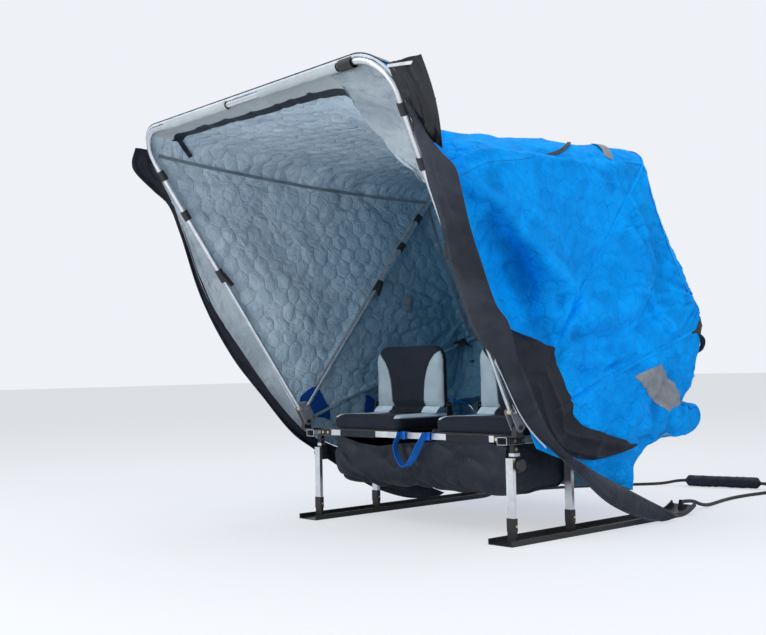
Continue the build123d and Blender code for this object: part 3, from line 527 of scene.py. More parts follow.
class Finishes:
    """Every finish of the hut, built once."""

    def __init__(self) -> None:
        """Builds the materials."""
        self.shell = QuiltCloth(
            "shell_blue", (0.0, 0.35, 0.96), (0.0, 0.26, 0.76), puff=0.002, crease=0.007, line_dark=0.14,
            line=0.0008, rough=0.6, shine=0.05, wrinkle=0.007).build()
        # The lining gets painted shade, darker and bluer towards the back inside.
        self.lining = QuiltCloth(
            "lining_grey", (0.52, 0.62, 0.69), (0.41, 0.51, 0.6), puff=0.0022, crease=0.008, line_dark=0.1,
            line=0.0008, rough=0.6, wrinkle=0.006, painted_inner_shade=(0.09, 0.28, 0.43)).build()
        for name, piece, colour, shade, rough, crease, shine in (
            ("skirt", "skirt_charcoal", (0.034, 0.039, 0.054), (0.012, 0.015, 0.022), 0.48, 0.012, 0.2),
            # skirt_shadow is the skirt cloth with painted shade, for the left band and the aprons
            ("dark", "skirt_shadow", (0.017, 0.02, 0.03), (0.008, 0.01, 0.016), 0.5, 0.01, 0.16),
            ("gloss", "skirt_black", (0.010, 0.012, 0.016), (0.005, 0.006, 0.009), 0.3, 0.006, 0.4),
            ("sling", "sling_black", (0.016, 0.021, 0.032), (0.007, 0.01, 0.016), 0.5, 0.012, 0.22),
            ("binding", "binding_grey", (0.56, 0.62, 0.67), (0.44, 0.5, 0.56), 0.6, 0.002, 0.3),
            # lining_painted_shade is the lining cloth darkened: painted shade for the slack lining, edges and
            # tape that hang inside
            ("loose", "lining_painted_shade", (0.36, 0.42, 0.46), (0.22, 0.27, 0.31), 0.6, 0.016, 0.3),
            ("facing", "lining_facing", (0.42, 0.46, 0.47), (0.34, 0.38, 0.4), 0.62, 0.006, 0.3),
            ("seam", "seam_grey", (0.17, 0.22, 0.26), (0.12, 0.16, 0.2), 0.6, 0.002, 0.3),
            ("navy", "zip_navy", (0.006, 0.012, 0.028), (0.003, 0.006, 0.014), 0.4, 0.004, 0.3),
            ("patch", "patch_blue", (0.0, 0.06, 0.32), (0.0, 0.035, 0.2), 0.55, 0.002, 0.3),
        ):
            setattr(self, name, CoatedCloth(piece, colour, shade, rough, crease, shine=shine).build())
        self.grey = Strip("patch_grey", (0.23, 0.25, 0.28)).build()
        self.pad = PadCloth("seat_pad", (0.014, 0.019, 0.031), (0.36, 0.45, 0.51)).build()
        # seat_pad_painted_light is the seat cloth with painted light on its pale panels, for the upward faces
        # that the canopy shades, and painted shade on its dark panels
        self.seat = PadCloth("seat_pad_painted_light", (0.011, 0.015, 0.026), (0.56, 0.69, 0.78)).build()
        self.blue_web = Webbing("webbing_blue", (0.0, 0.17, 0.68)).build()
        self.black_web = Webbing("webbing_black", (0.026, 0.027, 0.031)).build()
        self.thread = Webbing("thread_black", (0.02, 0.02, 0.024)).build()
        self.pale_thread = Webbing("thread_grey", (0.3, 0.34, 0.37)).build()
        self.alu = Metal("aluminium_leg", (0.78, 0.8, 0.82), 0.32).build()
        self.tube = Metal("aluminium_tube", (0.74, 0.76, 0.79), 0.26, (1.0, 1.0, 1.0)).build()
        self.bolt = Metal("zinc_bolt", (0.78, 0.66, 0.42), 0.3, (1.0, 1.0, 1.0)).build()
        self.plate = Coat("plate_grey", (0.2, 0.22, 0.25), 0.42).build()
        self.black = Coat("steel_black", (0.018, 0.019, 0.022), 0.42).build()
        self.plastic = Coat("plastic_black", (0.014, 0.014, 0.016), 0.4, 600.0).build()
        self.ski = Coat("ski_black", (0.016, 0.017, 0.019), 0.36, 300.0, 0.0003).build()
        self.strip = Strip("reflective_strip").build()


class Ripple:
    """Smooth seeded noise for arrays of points, about -1 to 1."""

    def __init__(self, seed: int) -> None:
        """Fills the table that the noise is read from."""
        self.table = np.random.default_rng(seed).random((32, 32, 32)) * 2 - 1

    def __call__(self, points: Array) -> Array:
        """The noise at each point.

        Args:
            points: Points in cells, any shape ending in 3.

        Returns:
            One number per point.
        """
        whole = np.floor(points).astype(int)
        part = points - whole
        part = part * part * (3 - 2 * part)
        total = np.zeros(points.shape[:-1])
        for corner in range(8):
            bits = np.array([corner & 1, corner >> 1 & 1, corner >> 2 & 1])
            index = (whole + bits) % 32
            weight = np.prod(np.where(bits == 1, part, 1 - part), axis=-1)
            total += weight * self.table[index[..., 0], index[..., 1], index[..., 2]]
        return total

    def rich(self, points: Array, octaves: int = 3) -> Array:
        """Noise with finer noise on it."""
        return sum(self(points * 2.03 ** k + 7.3 * k) * 0.5 ** k for k in range(octaves))

    def creased(self, points: Array) -> Array:
        """Noise with sharp ridges, 0 to 1, like folds in cloth."""
        return (1 - np.abs(self.rich(points, 2))) ** 3


def rise(x: Array | float) -> Array:
    """Smooth rise from 0 to 1."""
    x = np.clip(x, 0.0, 1.0)
    return x * x * (3 - 2 * x)


def through(knots: Array, t: Array) -> Array:
    """A smooth line through knots.

    Args:
        knots: Points in a row, shape (k, d).
        t: Places along it, 0 to 1.

    Returns:
        Points of shape t.shape + (d,).
    """
    knots = np.asarray(knots, float)
    n = len(knots) - 1
    place = np.clip(t, 0, 1) * n
    i = np.minimum(place.astype(int), n - 1)
    f = (place - i)[..., None]
    ext = np.vstack([2 * knots[0] - knots[1], knots, 2 * knots[-1] - knots[-2]])
    a, b, c, d = ext[i], ext[i + 1], ext[i + 2], ext[i + 3]
    bend, twist = 2 * a - 5 * b + 4 * c - d, 3 * b - a - 3 * c + d
    return 0.5 * (2 * b + (c - a) * f + bend * f ** 2 + twist * f ** 3)


def pinned(k: Array, part: float) -> Array:
    """Smooth rise from 0 at both ends of a row of places from 0 to 1."""
    return rise(np.minimum(k, 1 - k) / part)


def spots(*parts: Array | float) -> Array:
    """Points from their coordinates, spread over one another."""
    return np.stack(np.broadcast_arrays(*parts), axis=-1)


def between(a: Array, b: Array, k: Array) -> Array:
    """Rows of points that lead from one line to another."""
    return a[:, None] + (b - a)[:, None] * k[None, :, None]


def travelled(line: Array) -> Array:
    """Length along a line up to each of its points."""
    return np.concatenate([[0], np.cumsum(np.linalg.norm(np.diff(line, axis=0), axis=1))])


def unit(vectors: Array) -> Array:
    """Vectors of length 1."""
    return vectors / np.linalg.norm(vectors, axis=-1, keepdims=True)


def normals(grid: Array) -> Array:
    """Unit normals of a grid of points."""
    n = np.cross(np.gradient(grid, axis=0), np.gradient(grid, axis=1))
    return n / np.maximum(np.linalg.norm(n, axis=-1, keepdims=True), 1e-9)


def faced(grid: Array, way: Array | Sequence[float]) -> Array:
    """The grid, its rows turned round where it faces against a way."""
    return grid[:, ::-1] if np.mean((normals(grid) * way).sum(-1)) < 0 else grid


def hex_edge(flat: Array, cell: float) -> Array:
    """The quilting pattern on points.

    Args:
        flat: Flat coordinates in metres.
        cell: Width of a hexagon in metres.

    Returns:
        How near each place is to a quilting line: 0 at a cell's middle and 1 on the line.
    """
    tall = math.sqrt(3)
    size = np.array([1.0, tall])
    p = flat / cell
    a = np.mod(p, size) - size / 2
    b = np.mod(p + size / 2, size) - size / 2
    g = np.abs(np.where(((a ** 2).sum(-1) < (b ** 2).sum(-1))[..., None], a, b))
    return 2 * np.maximum(g[..., 0], g[..., 0] * 0.5 + g[..., 1] * tall / 2)


def new_object(name: str, data: bpy.types.ID | None, materials: Sequence[bpy.types.Material] = ()
               ) -> bpy.types.Object:
    """Links a mesh, or other data, into the scene.

    Args:
        name: The object's name.
        data: Its mesh, curve, camera or lamp.
        materials: Its finishes.

    Returns:
        The new object.
    """
    made = bpy.data.objects.new(name, data)
    bpy.context.scene.collection.objects.link(made)
    for material in materials:
        data.materials.append(material)
    return made


def closed_mesh(name: str, points: Array, faces: Sequence[tuple[int, ...]]) -> bpy.types.Mesh:
    """A closed mesh whose faces are turned outwards.

    Args:
        name: The mesh's name.
        points: In mm, shape (n, 3).
        faces: Point numbers of each face.

    Returns:
        The mesh.
    """
    mesh = bpy.data.meshes.new(name)
    mesh.from_pydata((points * MM).tolist(), [], faces)
    work = bmesh.new()
    work.from_mesh(mesh)
    bmesh.ops.recalc_face_normals(work, faces=work.faces)
    work.to_mesh(mesh)
    work.free()
    return mesh


def points_of(mesh: bpy.types.Mesh) -> Array:
    """Reads a mesh's points.

    Args:
        mesh: Any mesh.

    Returns:
        Points in metres, shape (n, 3).
    """
    places = np.zeros(len(mesh.vertices) * 3)
    mesh.vertices.foreach_get("co", places)
    return places.reshape(-1, 3)


def smooth(mesh: bpy.types.Mesh, angle: float = 50.0) -> None:
    """Smooth faces, with edges sharper than the angle kept sharp."""
    mesh.polygons.foreach_set("use_smooth", [True] * len(mesh.polygons))
    mesh.set_sharp_from_angle(angle=math.radians(angle))


def two_faced(name: str, near: Array, far: Array, materials: Sequence[bpy.types.Material],
              flat: Array | None = None, angle: float = 60.0, lead: int | None = None) -> bpy.types.Object:
    """A closed sheet between two grids of points.

    Args:
        name: The piece's name.
        near: Inner grid in mm, shape (n, m, 3).
        far: Outer grid in mm, which the normals point from.
        materials: Finish of the near face, of the far face and of the rim.
        flat: Flat coordinates of the grid in metres, for the quilting.
        angle: Edges sharper than this stay sharp.
        lead: Which finish the rim gets along the grid's first column.

    Returns:
        The new object.
    """
    n, m = near.shape[:2]
    verts = np.concatenate([near.reshape(-1, 3), far.reshape(-1, 3)]) * MM
    i, j = np.meshgrid(np.arange(n - 1), np.arange(m - 1), indexing="ij")
    a = (i * m + j).ravel()
    b, c, d = a + m, a + m + 1, a + 1
    off = n * m
    inner = np.stack([a, d, c, b], axis=1)
    outer = np.stack([a, b, c, d], axis=1) + off
    ring = [(k, 0) for k in range(n - 1)] + [(n - 1, k) for k in range(m - 1)]
    ring += [(k, m - 1) for k in range(n - 1, 0, -1)] + [(0, k) for k in range(m - 1, 0, -1)]
    flatring = np.array([p * m + q for p, q in ring])
    nxt = np.roll(flatring, -1)
    rim = np.stack([flatring, nxt, nxt + off, flatring + off], axis=1)
    faces = np.concatenate([inner, outer, rim])
    mesh = bpy.data.meshes.new(name)
    mesh.from_pydata(verts.tolist(), [], faces.tolist())
    made = new_object(name, mesh, materials)
    index = np.repeat([0, 1, 2], [len(inner), len(outer), len(rim)])
    if lead is not None:
        first = len(inner) + len(outer)
        index[first:first + n - 1] = lead
    mesh.polygons.foreach_set("material_index", np.minimum(index, len(materials) - 1).tolist())
    if flat is not None:
        layer = mesh.uv_layers.new(name="cloth")
        loops = np.zeros(len(mesh.loops), int)
        mesh.loops.foreach_get("vertex_index", loops)
        layer.data.foreach_set("uv", flat.reshape(-1, 2)[loops % off].astype(np.float32).ravel())
    smooth(mesh, angle)
    return made


def sheet_on(name: str, near: Array, thick: float, material: bpy.types.Material) -> bpy.types.Object:
    """A closed sheet of one finish and thickness, in mm, on the front of a grid of points."""
    return two_faced(name, near, near + normals(near) * thick, [material])


def add_value(made: bpy.types.Object, name: str, values: Array) -> None:
    """Gives each point of a mesh a number that its finish reads."""
    layer = made.data.attributes.new(name, "FLOAT", "POINT")
    layer.data.foreach_set("value", values.astype(np.float32))


def blurred(grid: Array, reach: int) -> Array:
    """Averages a grid of numbers over its neighbours.

    Args:
        grid: The numbers, shape (n, m).
        reach: How many neighbours on each side count.

    Returns:
        The averages, in the same shape.
    """
    span = np.ones(2 * reach + 1) / (2 * reach + 1)
    for axis in (0, 1):
        wide = np.pad(grid, [(reach, reach) if k == axis else (0, 0) for k in (0, 1)], "edge")
        grid = np.apply_along_axis(lambda row: np.convolve(row, span, "valid"), axis, wide)
    return grid


def declare_sheet(made: bpy.types.Object, held: str, rests_on: Sequence[str], length: float,
                  spare: float = 1.15) -> None:
    """Declares a sheet, cut from a rectangle of its length.

    Args:
        made: The piece.
        held: How it is held; not used.
        rests_on: What it hangs from or lies on; not used.
        length: Its length in metres.
        spare: How much larger the rectangle is than the cut.
    """
    area = sum(face.area for face in made.data.polygons) / 2
    width = area * spare / length
    LOG.info("sheet %s: cut from %.2f x %.2f m, cloth %.2f m2", made.name, width, length, area)


def settle(made: bpy.types.Object, body: str | dict = "canopy", node: str | None = None,
           sheet: tuple | None = None) -> None:
    """Puts a finished piece on its body.

    Args:
        made: The piece.
        body: What it rides on, or a dict of planes, for which its transform is baked and it rides on no body.
        node: The CAD node that it stands for.
        sheet: How a free sheet is held, what carries it, and its length.
    """
    if node is not None:
        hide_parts(node)
    if isinstance(body, dict):
        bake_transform(made)
    else:
        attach(made, body)
    if sheet is not None:
        declare_sheet(made, *sheet)


class StitchRow:
    """Geometry Nodes tree that lays thread stitches along lines of edges."""

    def __init__(self) -> None:
        """Builds the tree with its named inputs."""
        self.group = bpy.data.node_groups.new("stitch_row", "GeometryNodeTree")
        face = self.group.interface
        face.new_socket("Geometry", in_out="INPUT", socket_type="NodeSocketGeometry")
        self.ids = {}
        for name, kind in (("Pitch", "NodeSocketFloat"), ("Length", "NodeSocketFloat"),
                           ("Width", "NodeSocketFloat"), ("Thread", "NodeSocketMaterial")):
            self.ids[name] = face.new_socket(name, in_out="INPUT", socket_type=kind).identifier
        face.new_socket("Geometry", in_out="OUTPUT", socket_type="NodeSocketGeometry")
        nodes = {name: self.group.nodes.new(kind) for name, kind in (
            ("given", "NodeGroupInput"), ("curve", "GeometryNodeMeshToCurve"),
            ("points", "GeometryNodeCurveToPoints"), ("ball", "GeometryNodeMeshUVSphere"),
            ("size", "ShaderNodeCombineXYZ"), ("shape", "GeometryNodeTransform"),
            ("lay", "GeometryNodeInstanceOnPoints"), ("real", "GeometryNodeRealizeInstances"),
            ("dress", "GeometryNodeSetMaterial"), ("out", "NodeGroupOutput"),
        )}
        nodes["points"].mode = "LENGTH"
        for name, value in (("Segments", 6), ("Rings", 4), ("Radius", 0.5)):
            nodes["ball"].inputs[name].default_value = value
        for start, leaves, end, enters in (
            ("given", "Geometry", "curve", 0), ("curve", 0, "points", 0),
            ("given", "Pitch", "points", "Length"),
            ("given", "Width", "size", 0), ("given", "Width", "size", 1), ("given", "Length", "size", 2),
            ("ball", 0, "shape", "Geometry"), ("size", 0, "shape", "Scale"),
            ("points", "Points", "lay", "Points"), ("shape", 0, "lay", "Instance"),
            ("points", "Rotation", "lay", "Rotation"), ("lay", 0, "real", 0),
            ("real", 0, "dress", "Geometry"), ("given", "Thread", "dress", "Material"),
            ("dress", 0, "out", 0),
        ):
            self.group.links.new(nodes[start].outputs[leaves], nodes[end].inputs[enters])

    def lay(self, name: str, lines: Sequence[Array], thread: bpy.types.Material,
            pitch: float = 6.0, length: float = 4.0, width: float = 1.1) -> bpy.types.Object:
        """Stitches along lines, as a plain mesh.

        Args:
            name: The piece's name.
            lines: Point rows in mm.
            thread: The thread's finish.
            pitch: From stitch to stitch, in mm.
            length: Of a stitch, in mm.
            width: Of the thread, in mm.

        Returns:
            The new object.
        """
        verts: list[Array] = []
        edges: list[tuple[int, int]] = []
        for line in lines:
            start = sum(len(v) for v in verts)
            verts.append(np.asarray(line, float) * MM)
            edges += [(start + k, start + k + 1) for k in range(len(line) - 1)]
        mesh = bpy.data.meshes.new(name)
        mesh.from_pydata(np.concatenate(verts).tolist(), edges, [])
        made = new_object(name, mesh, [])
        modifier = made.modifiers.new("stitches", "NODES")
        modifier.node_group = self.group
        for name, value in (("Pitch", pitch * MM), ("Length", length * MM), ("Width", width * MM),
                            ("Thread", thread)):
            modifier[self.ids[name]] = value
        graph = bpy.context.evaluated_depsgraph_get()
        plain = bpy.data.meshes.new_from_object(made.evaluated_get(graph))
        made.modifiers.clear()
        made.data = plain
        plain.polygons.foreach_set("use_smooth", [True] * len(plain.polygons))
        return made


@dataclass(frozen=True)
class Bow:
    """One U-shaped bow of the canopy, in mm and degrees."""

    angle: float
    length: float
    half: float
    lug: float
    lug_angle: float
    hub: tuple[float, float, float] = (641.0, -241.0, 438.0)
    corner: float = 130.0

    def lug_place(self) -> Array:
        """Y and Z of the bow's own bolt."""
        a = math.radians(self.lug_angle)
        return np.array([self.hub[1] - self.lug * math.cos(a), self.hub[2] + self.lug * math.sin(a)])

    def top(self) -> Array:
        """Y and Z of the crossbar."""
        a = math.radians(self.angle)
        return np.array([self.hub[1] - self.length * math.cos(a), self.hub[2] + self.length * math.sin(a)])

    def run(self) -> float:
        """Length from the bolt to the crossbar, seen from the side."""
        return float(np.linalg.norm(self.top() - self.lug_place()))

    def space(self, x: Array, t: Array, lift: float = 0.0) -> Array:
        """Turns places in the bow's own plane into space.

        Args:
            x: To the side, in mm.
            t: Up the bow from its bolt, in mm.
            lift: Behind the bow's plane, in mm.

        Returns:
            Places in mm, shape (..., 3).
        """
        way = (self.top() - self.lug_place()) / self.run()
        y, z = self.lug_place()
        return np.stack([x, y + t * way[0] + lift * way[1], z + t * way[1] - lift * way[0]], axis=-1)

    def at(self, w: Array | float, off: Array | float = 0.0, lift: float = 0.0) -> Array:
        """Places on the bow's right half.

        Args:
            w: 0 to 1 up the pole, 1 to 2 round the corner, 2 to 3 to the middle.
            off: How far out from the tube's middle.
            lift: How far behind the bow's plane.

        Returns:
            Points in mm, w's shape with a last axis of 3.
        """
        w, off = np.broadcast_arrays(np.asarray(w, float), np.asarray(off, float))
        run = self.run()
        lean = math.atan2(self.half - self.hub[0], run)
        cx = self.half - self.corner * math.tan((math.pi / 2 + lean) / 2)
        ct = run - self.corner
        ex = cx + self.corner * math.cos(lean)
        et = ct - self.corner * math.sin(lean)
        turn = -lean + (math.pi / 2 + lean) * (w - 1)
        x = np.where(w <= 1, self.hub[0] + (ex - self.hub[0]) * w + off * math.cos(lean),
                     np.where(w <= 2, cx + (self.corner + off) * np.cos(turn), cx * (3 - w)))
        t = np.where(w <= 1, et * w - off * math.sin(lean),
                     np.where(w <= 2, ct + (self.corner + off) * np.sin(turn), run + off))
        return self.space(x, t, lift)


@dataclass(frozen=True)
class Stroke:
    """A fold drawn on the shell along (s, v) places."""

    places: tuple[tuple[float, float], ...]
    height: float
    width: float
    edge: tuple[float, float, float] | None = None

    def lift(self, p: Array, surface: Callable[[Array, Array], Array]) -> Array:
        """How far the fold lifts the cloth.

        Args:
            p: Points of the smooth shell, in mm.
            surface: The shell's own surface.

        Returns:
            Millimetres per point: a ridge, or a step that rises on the side of edge.
        """
        line = through(np.array(self.places), np.linspace(0, 1, 70))
        knots = surface(line[:, 0], line[:, 1])
        best = np.full(p.shape[:-1], 1e9)
        place = np.zeros(p.shape[:-1])
        side = np.zeros(p.shape[:-1])
        for k in range(len(knots) - 1):
            way = knots[k + 1] - knots[k]
            t = np.clip(((p - knots[k]) * way).sum(-1) / (way ** 2).sum(), 0, 1)
            gap = p - knots[k] - t[..., None] * way
            far = (gap ** 2).sum(-1)
            near = far < best
            best = np.where(near, far, best)
            place = np.where(near, (k + t) / (len(knots) - 1), place)
            if self.edge is not None:
                up = np.array(self.edge) - way * np.dot(self.edge, way) / (way ** 2).sum()
                side = np.where(near, (gap * up).sum(-1) / np.linalg.norm(up), side)
        taper = rise(place / 0.2) * rise((1 - place) / 0.2)
        x = np.sqrt(best) / self.width
        if self.edge is None:
            return self.height * np.exp(-x ** 2) * taper
        return self.height * side / self.width * np.exp(0.5 * (1 - x ** 2)) * taper


FOLDS = (
    Stroke(((5.118, 0.15), (5.245, 0.296), (5.377, 0.491), (5.474, 0.692), (5.59, 1.123)), 30.0, 30.0),
    Stroke(((5.2, 0.2), (5.3, 0.33), (5.42, 0.52), (5.53, 0.72), (5.62, 1.0)), -24.0, 60.0, (0.0, -0.8, 0.5)),
    Stroke(((5.35, 0.45), (5.508, 0.6), (5.646, 0.789), (5.746, 1.128), (5.76, 1.5)), -30.0, 45.0,
           (0.0, -1.0, 0.2)),
    Stroke(((5.65, 0.83), (5.66, 1.0), (5.6, 1.25), (5.524, 1.466), (5.408, 1.617), (5.289, 1.654),
            (5.179, 1.602), (5.088, 1.459), (5.06, 1.2)), 30.0, 60.0, (0.0, -0.35, 1.0)),
    Stroke(((5.74, 1.2), (5.571, 1.534), (5.411, 1.75), (5.267, 1.85)), 15.0, 26.0),
    Stroke(((5.72, 1.5), (5.6, 1.75), (5.47, 1.9), (5.3, 2.0)), 14.0, 24.0, (0.0, 0.0, 1.0)),
    Stroke(((5.73, 1.797), (5.583, 1.95), (5.402, 2.1)), 14.0, 24.0),
    Stroke(((5.118, 0.12), (5.078, 0.271), (5.028, 0.441), (4.85, 0.622), (4.757, 0.9)), 7.0, 14.0),
    Stroke(((4.982, 0.857), (5.104, 1.0), (5.095, 1.338), (5.151, 1.669), (5.135, 1.955), (5.05, 2.2)),
           6.0, 16.0, (0.0, 1.0, 0.0)),
    Stroke(((4.95, 2.2), (5.1, 2.5), (5.02, 2.75)), 14.0, 45.0, (0.0, 1.0, 0.3)),
    Stroke(((4.3, 2.5), (4.8, 2.62), (5.15, 2.72)), 12.0, 40.0, (0.0, 0.0, 1.0)),
)


BACK_SEAM = ((4.9, 0.83), (4.982, 0.857), (5.104, 1.0), (5.095, 1.338), (5.151, 1.669), (5.135, 1.9))
FRONT_SEAM = ((5.118, 0.165), (5.078, 0.271), (5.028, 0.441), (4.93, 0.6), (4.8, 0.74), (4.77, 0.8))
LOW_CLOTH = {"start": (0, -0.2347, 0.419), "end": (0, -0.133, 0.1157)}
BAND = {"start": (0, -0.32, 0.56), "end": (0, -0.1, 0.34)}
SIDE_PATCH = (
    ((5.214, 2.1), (5.267, 2.108), (5.32, 2.115), (5.37, 2.125)),
    ((5.101, 2.193), (5.148, 2.213), (5.198, 2.236), (5.245, 2.261)),
    ((4.966, 2.271), (5.026, 2.328), (5.082, 2.368), (5.138, 2.406)),
    ((4.86, 2.3), (4.951, 2.444), (5.013, 2.491), (5.051, 2.521)),
)
RIGHT_FREE = (
    (808, -934, 1543), (804, -909, 1502), (785, -858, 1419), (782, -840, 1388), (769, -809, 1337),
    (754, -777, 1281), (738, -714, 1170), (699, -631, 1033), (675, -542, 887), (668, -478, 781),
    (694, -420, 698), (695, -341, 552), (703, -256, 443), (701, -121, 353), (697, 33, 248),
    (693, 233, 116), (691, 472, 26), (690, 592, 9),
)
RIGHT_SEWN = (
    (811, -924, 1534), (820, -893, 1488), (833, -856, 1431), (855, -822, 1378), (887, -787, 1324),
    (875, -748, 1261), (843, -677, 1143), (826, -614, 1040), (806, -523, 890), (800, -447, 815),
    (768, -369, 692), (748, -295, 616), (732, -194, 462), (722, -65, 343), (714, 32, 295),
    (708, 149, 239), (702, 427, 128), (696, 694, 24),
)
LEFT_FREE = (
    (-800, -1010, 1636), (-838, -1008, 1580), (-846, -985, 1536), (-832, -905, 1462), (-826, -835, 1400),
    (-822, -775, 1259), (-815, -676, 985), (-810, -528, 738), (-780, -365, 533), (-740, -249, 385),
    (-715, -147, 306), (-702, 33, 191), (-696, 209, 95), (-693, 420, 28), (-690, 640, 6),
)
LEFT_SEWN = (
    (-800, -941, 1636), (-805, -905, 1575), (-800, -874, 1512), (-800, -836, 1427), (-795, -770, 1255),
    (-785, -673, 1005), (-765, -520, 782), (-738, -366, 570), (-722, -200, 398), (-714, -55, 320),
    (-712, 138, 252), (-708, 326, 170), (-702, 510, 96), (-696, 694, 24),
)
FLAP_EDGE = (
    (480, -974, 1690), (467, -937, 1657), (464, -909, 1623), (489, -850, 1536), (555, -798, 1450),
    (596, -764, 1384), (650, -748, 1340), (703, -731, 1286),
)
FLAP_TOP = ((774, -970, 1663), (850, -966, 1661), (923, -963, 1657))
FLAP_LOW = ((762, -850, 1466), (806, -826, 1430), (848, -802, 1388))
APRON_INNER = (
    (5.74, 0.12), (5.82, 0.16), (5.9, 0.2), (5.95, 0.5), (5.96, 1.4), (5.96, 2.2), (5.86, 2.86), (5.56, 2.93),
    (5.258, 2.88), (5.044, 2.80),
)
APRON_OUTER = (
    (5.66, 0.30), (5.70, 0.55), (5.735, 0.80), (5.765, 1.10), (5.78, 1.5), (5.772, 2.05), (5.70, 2.40),
    (5.539, 2.61), (5.173, 2.767), (5.04, 2.79),
)
RIGHT_EDGE = (
    (706, -427, 683), (708, -383, 618), (708, -346, 559), (708, -300, 488), (708, -237, 419),
    (706, -155, 357),
)
HANDLE = (
    (690, 800, 808), (700, 850, 800), (703, 900, 788), (704, 930, 768), (700, 936, 742), (692, 922, 716),
    (676, 890, 700),
)


@dataclass
class Shell:
    """The canopy's sewn fabric as one surface, and the panels that it is cut into."""

    front: Bow = Bow(58.7, 1464.0, 787.0, 68.0, 58.7)
    middle: Bow = Bow(127.3, 1426.0, 649.0, 62.0, 92.0)
    rear: Bow = Bow(161.5, 1300.0, 690.0, 30.0, 150.0)
    off: float = 20.0
    thick: float = 6.0
    inset: float = 3.0
    seam: float = 1.25
    left_sag: float = 40.0
    right_sag: float = 110.0
    roof_sag: float = 95.0
    corner_fall: float = 235.0
    fold_fall: float = 190.0
    front_y: float = -218.0
    hem_x: float = 664.0
    hem_y: tuple[float, float] = (-158.0, 432.0)
    hem_z: tuple[float, float] = (355.0, 150.0)
    rear_line: tuple = ((1165, 700), (1085, 560), (1060, 510), (1155, 480), (1165, 420), (1080, 370),
                        (800, 345), (665, 260), (650, 150))
    slack: float = 1.0
    ripple: Ripple = field(default_factory=lambda: Ripple(11))

    def spread(self, w: Array) -> Array:
        """How far out the fabric lies from the bow's middle."""
        return self.off + 10.0 * np.maximum(0.0, 1 - w / 0.25)

    def front_span(self, side: Array, w: Array, v: Array) -> Array:
        """Inner face between the front and the middle bow.

        Args:
            side: -1 on the left and 1 on the right.
            w: Place on the bow's half.
            v: 0 at the front bow, 1 at the middle one.

        Returns:
            Points in mm.
        """
        a = self.front.at(w, self.spread(w))
        b = self.middle.at(w, self.spread(w))
        p = a + (b - a) * v[..., None]
        u = w / self.seam
        half = float(self.middle.at(self.seam)[0])
        share = rise((side * p[..., 0] + half) / (2 * half))
        depth = np.where(side > 0, self.right_sag, self.left_sag)
        ridge = 0.85 - 0.53 * v
        p[..., 0] -= depth * np.sin(math.pi * v) * rise((ridge - u) / 0.3) * rise(u / 0.35)
        hang = 100.0 * v * (1 - v) + self.roof_sag * share * rise((v - 0.02) / 0.2) * (1 - v)
        p[..., 2] -= hang * rise((u - 0.55) / 0.45)
        fall = self.corner_fall * rise((w - 0.6) / 0.8) * (1 - rise((w - 1.6) / 1.1))
        fall = fall * rise((v - 0.02) / 0.14) * np.maximum(1 - v, 0) ** 1.6
        across = rise((w - 0.62) / 0.5) * (1 - rise((w - 1.75) / 0.6))
        fall = fall + self.fold_fall * across * rise((v - 0.03) / 0.06) * (1 - rise((v - 0.1) / 0.22))
        fall = fall * (side > 0) * self.slack
        p[..., 0] -= 0.6 * fall
        p[..., 1] += 0.35 * fall
        p[..., 2] -= 0.62 * fall
        p[..., 0] *= side
        return p

    def rear_span(self, side: Array, w: Array, v: Array) -> Array:
        """The inner face between the middle and the rear bow.

        Args:
            side: -1 on the left and 1 on the right.
            w: Place on the bow's half.
            v: 0 at the middle bow to 1 at the rear bow.

        Returns:
            Places in mm, shape (..., 3).
        """
        a = self.middle.at(w, self.spread(w))
        b = self.rear.at(w, self.spread(w))
        p = a + (b - a) * v[..., None]
        dip = 14.0 * np.sin(math.pi * v) * np.minimum(w, 1.0)
        p[..., 1] -= dip
        p[..., 2] -= dip
        p[..., 0] *= side
        return p

    def low_span(self, side: Array, w: Array, q: Array) -> Array:
        """The inner face of the loose fabric from the rear bow to the chassis.

        Args:
            side: -1 on the left and 1 on the right.
            w: Place on the bow's half.
            q: 0 at the rear bow to 1 at the hem.

        Returns:
            Places in mm, shape (..., 3).
        """
        top = self.rear.at(w, self.spread(w))
        s = np.minimum(w / self.seam, 1.0)
        wide = np.where(w > self.seam, top[..., 0] / float(self.rear.at(self.seam, self.off)[0]), 1.0)
        hem = np.stack([self.hem_x * wide, self.hem_y[0] + (self.hem_y[1] - self.hem_y[0]) * s,
                        self.hem_z[0] + (self.hem_z[1] - self.hem_z[0]) * s], axis=-1)
        p = top + (hem - top) * q[..., None]
        first = self.rear.at(3.0, self.off)[1:]
        knots = np.vstack([first, [(self.front_y + y, z) for y, z in self.rear_line]])
        line = through(knots, q)
        straight = first + (np.array([self.hem_y[1], self.hem_z[1]]) - first) * q[..., None]
        p[..., 1:] += (line - straight) * (s ** 3)[..., None]
        p[..., 0] *= side
        return p

    def surface(self, s: Array, v: Array) -> Array:
        """The inner face of the whole shell.

        Args:
            s: 0 at the left hub over 3 at the middle to 6 at the right hub.
            v: 0 at the front bow, 1 middle bow, 2 rear bow, 3 hem.

        Returns:
            Points in mm.
        """
        s, v = np.broadcast_arrays(np.asarray(s, float), np.asarray(v, float))
        side = np.where(s < 3, -1.0, 1.0)
        w = np.where(s < 3, s, 6 - s)
        one = self.front_span(side, w, np.clip(v, 0, 1))
        two = self.rear_span(side, w, np.clip(v - 1, 0, 1))
        three = self.low_span(side, w, np.clip(v - 2, 0, 1))
        return np.where((v <= 1)[..., None], one, np.where((v <= 2)[..., None], two, three))

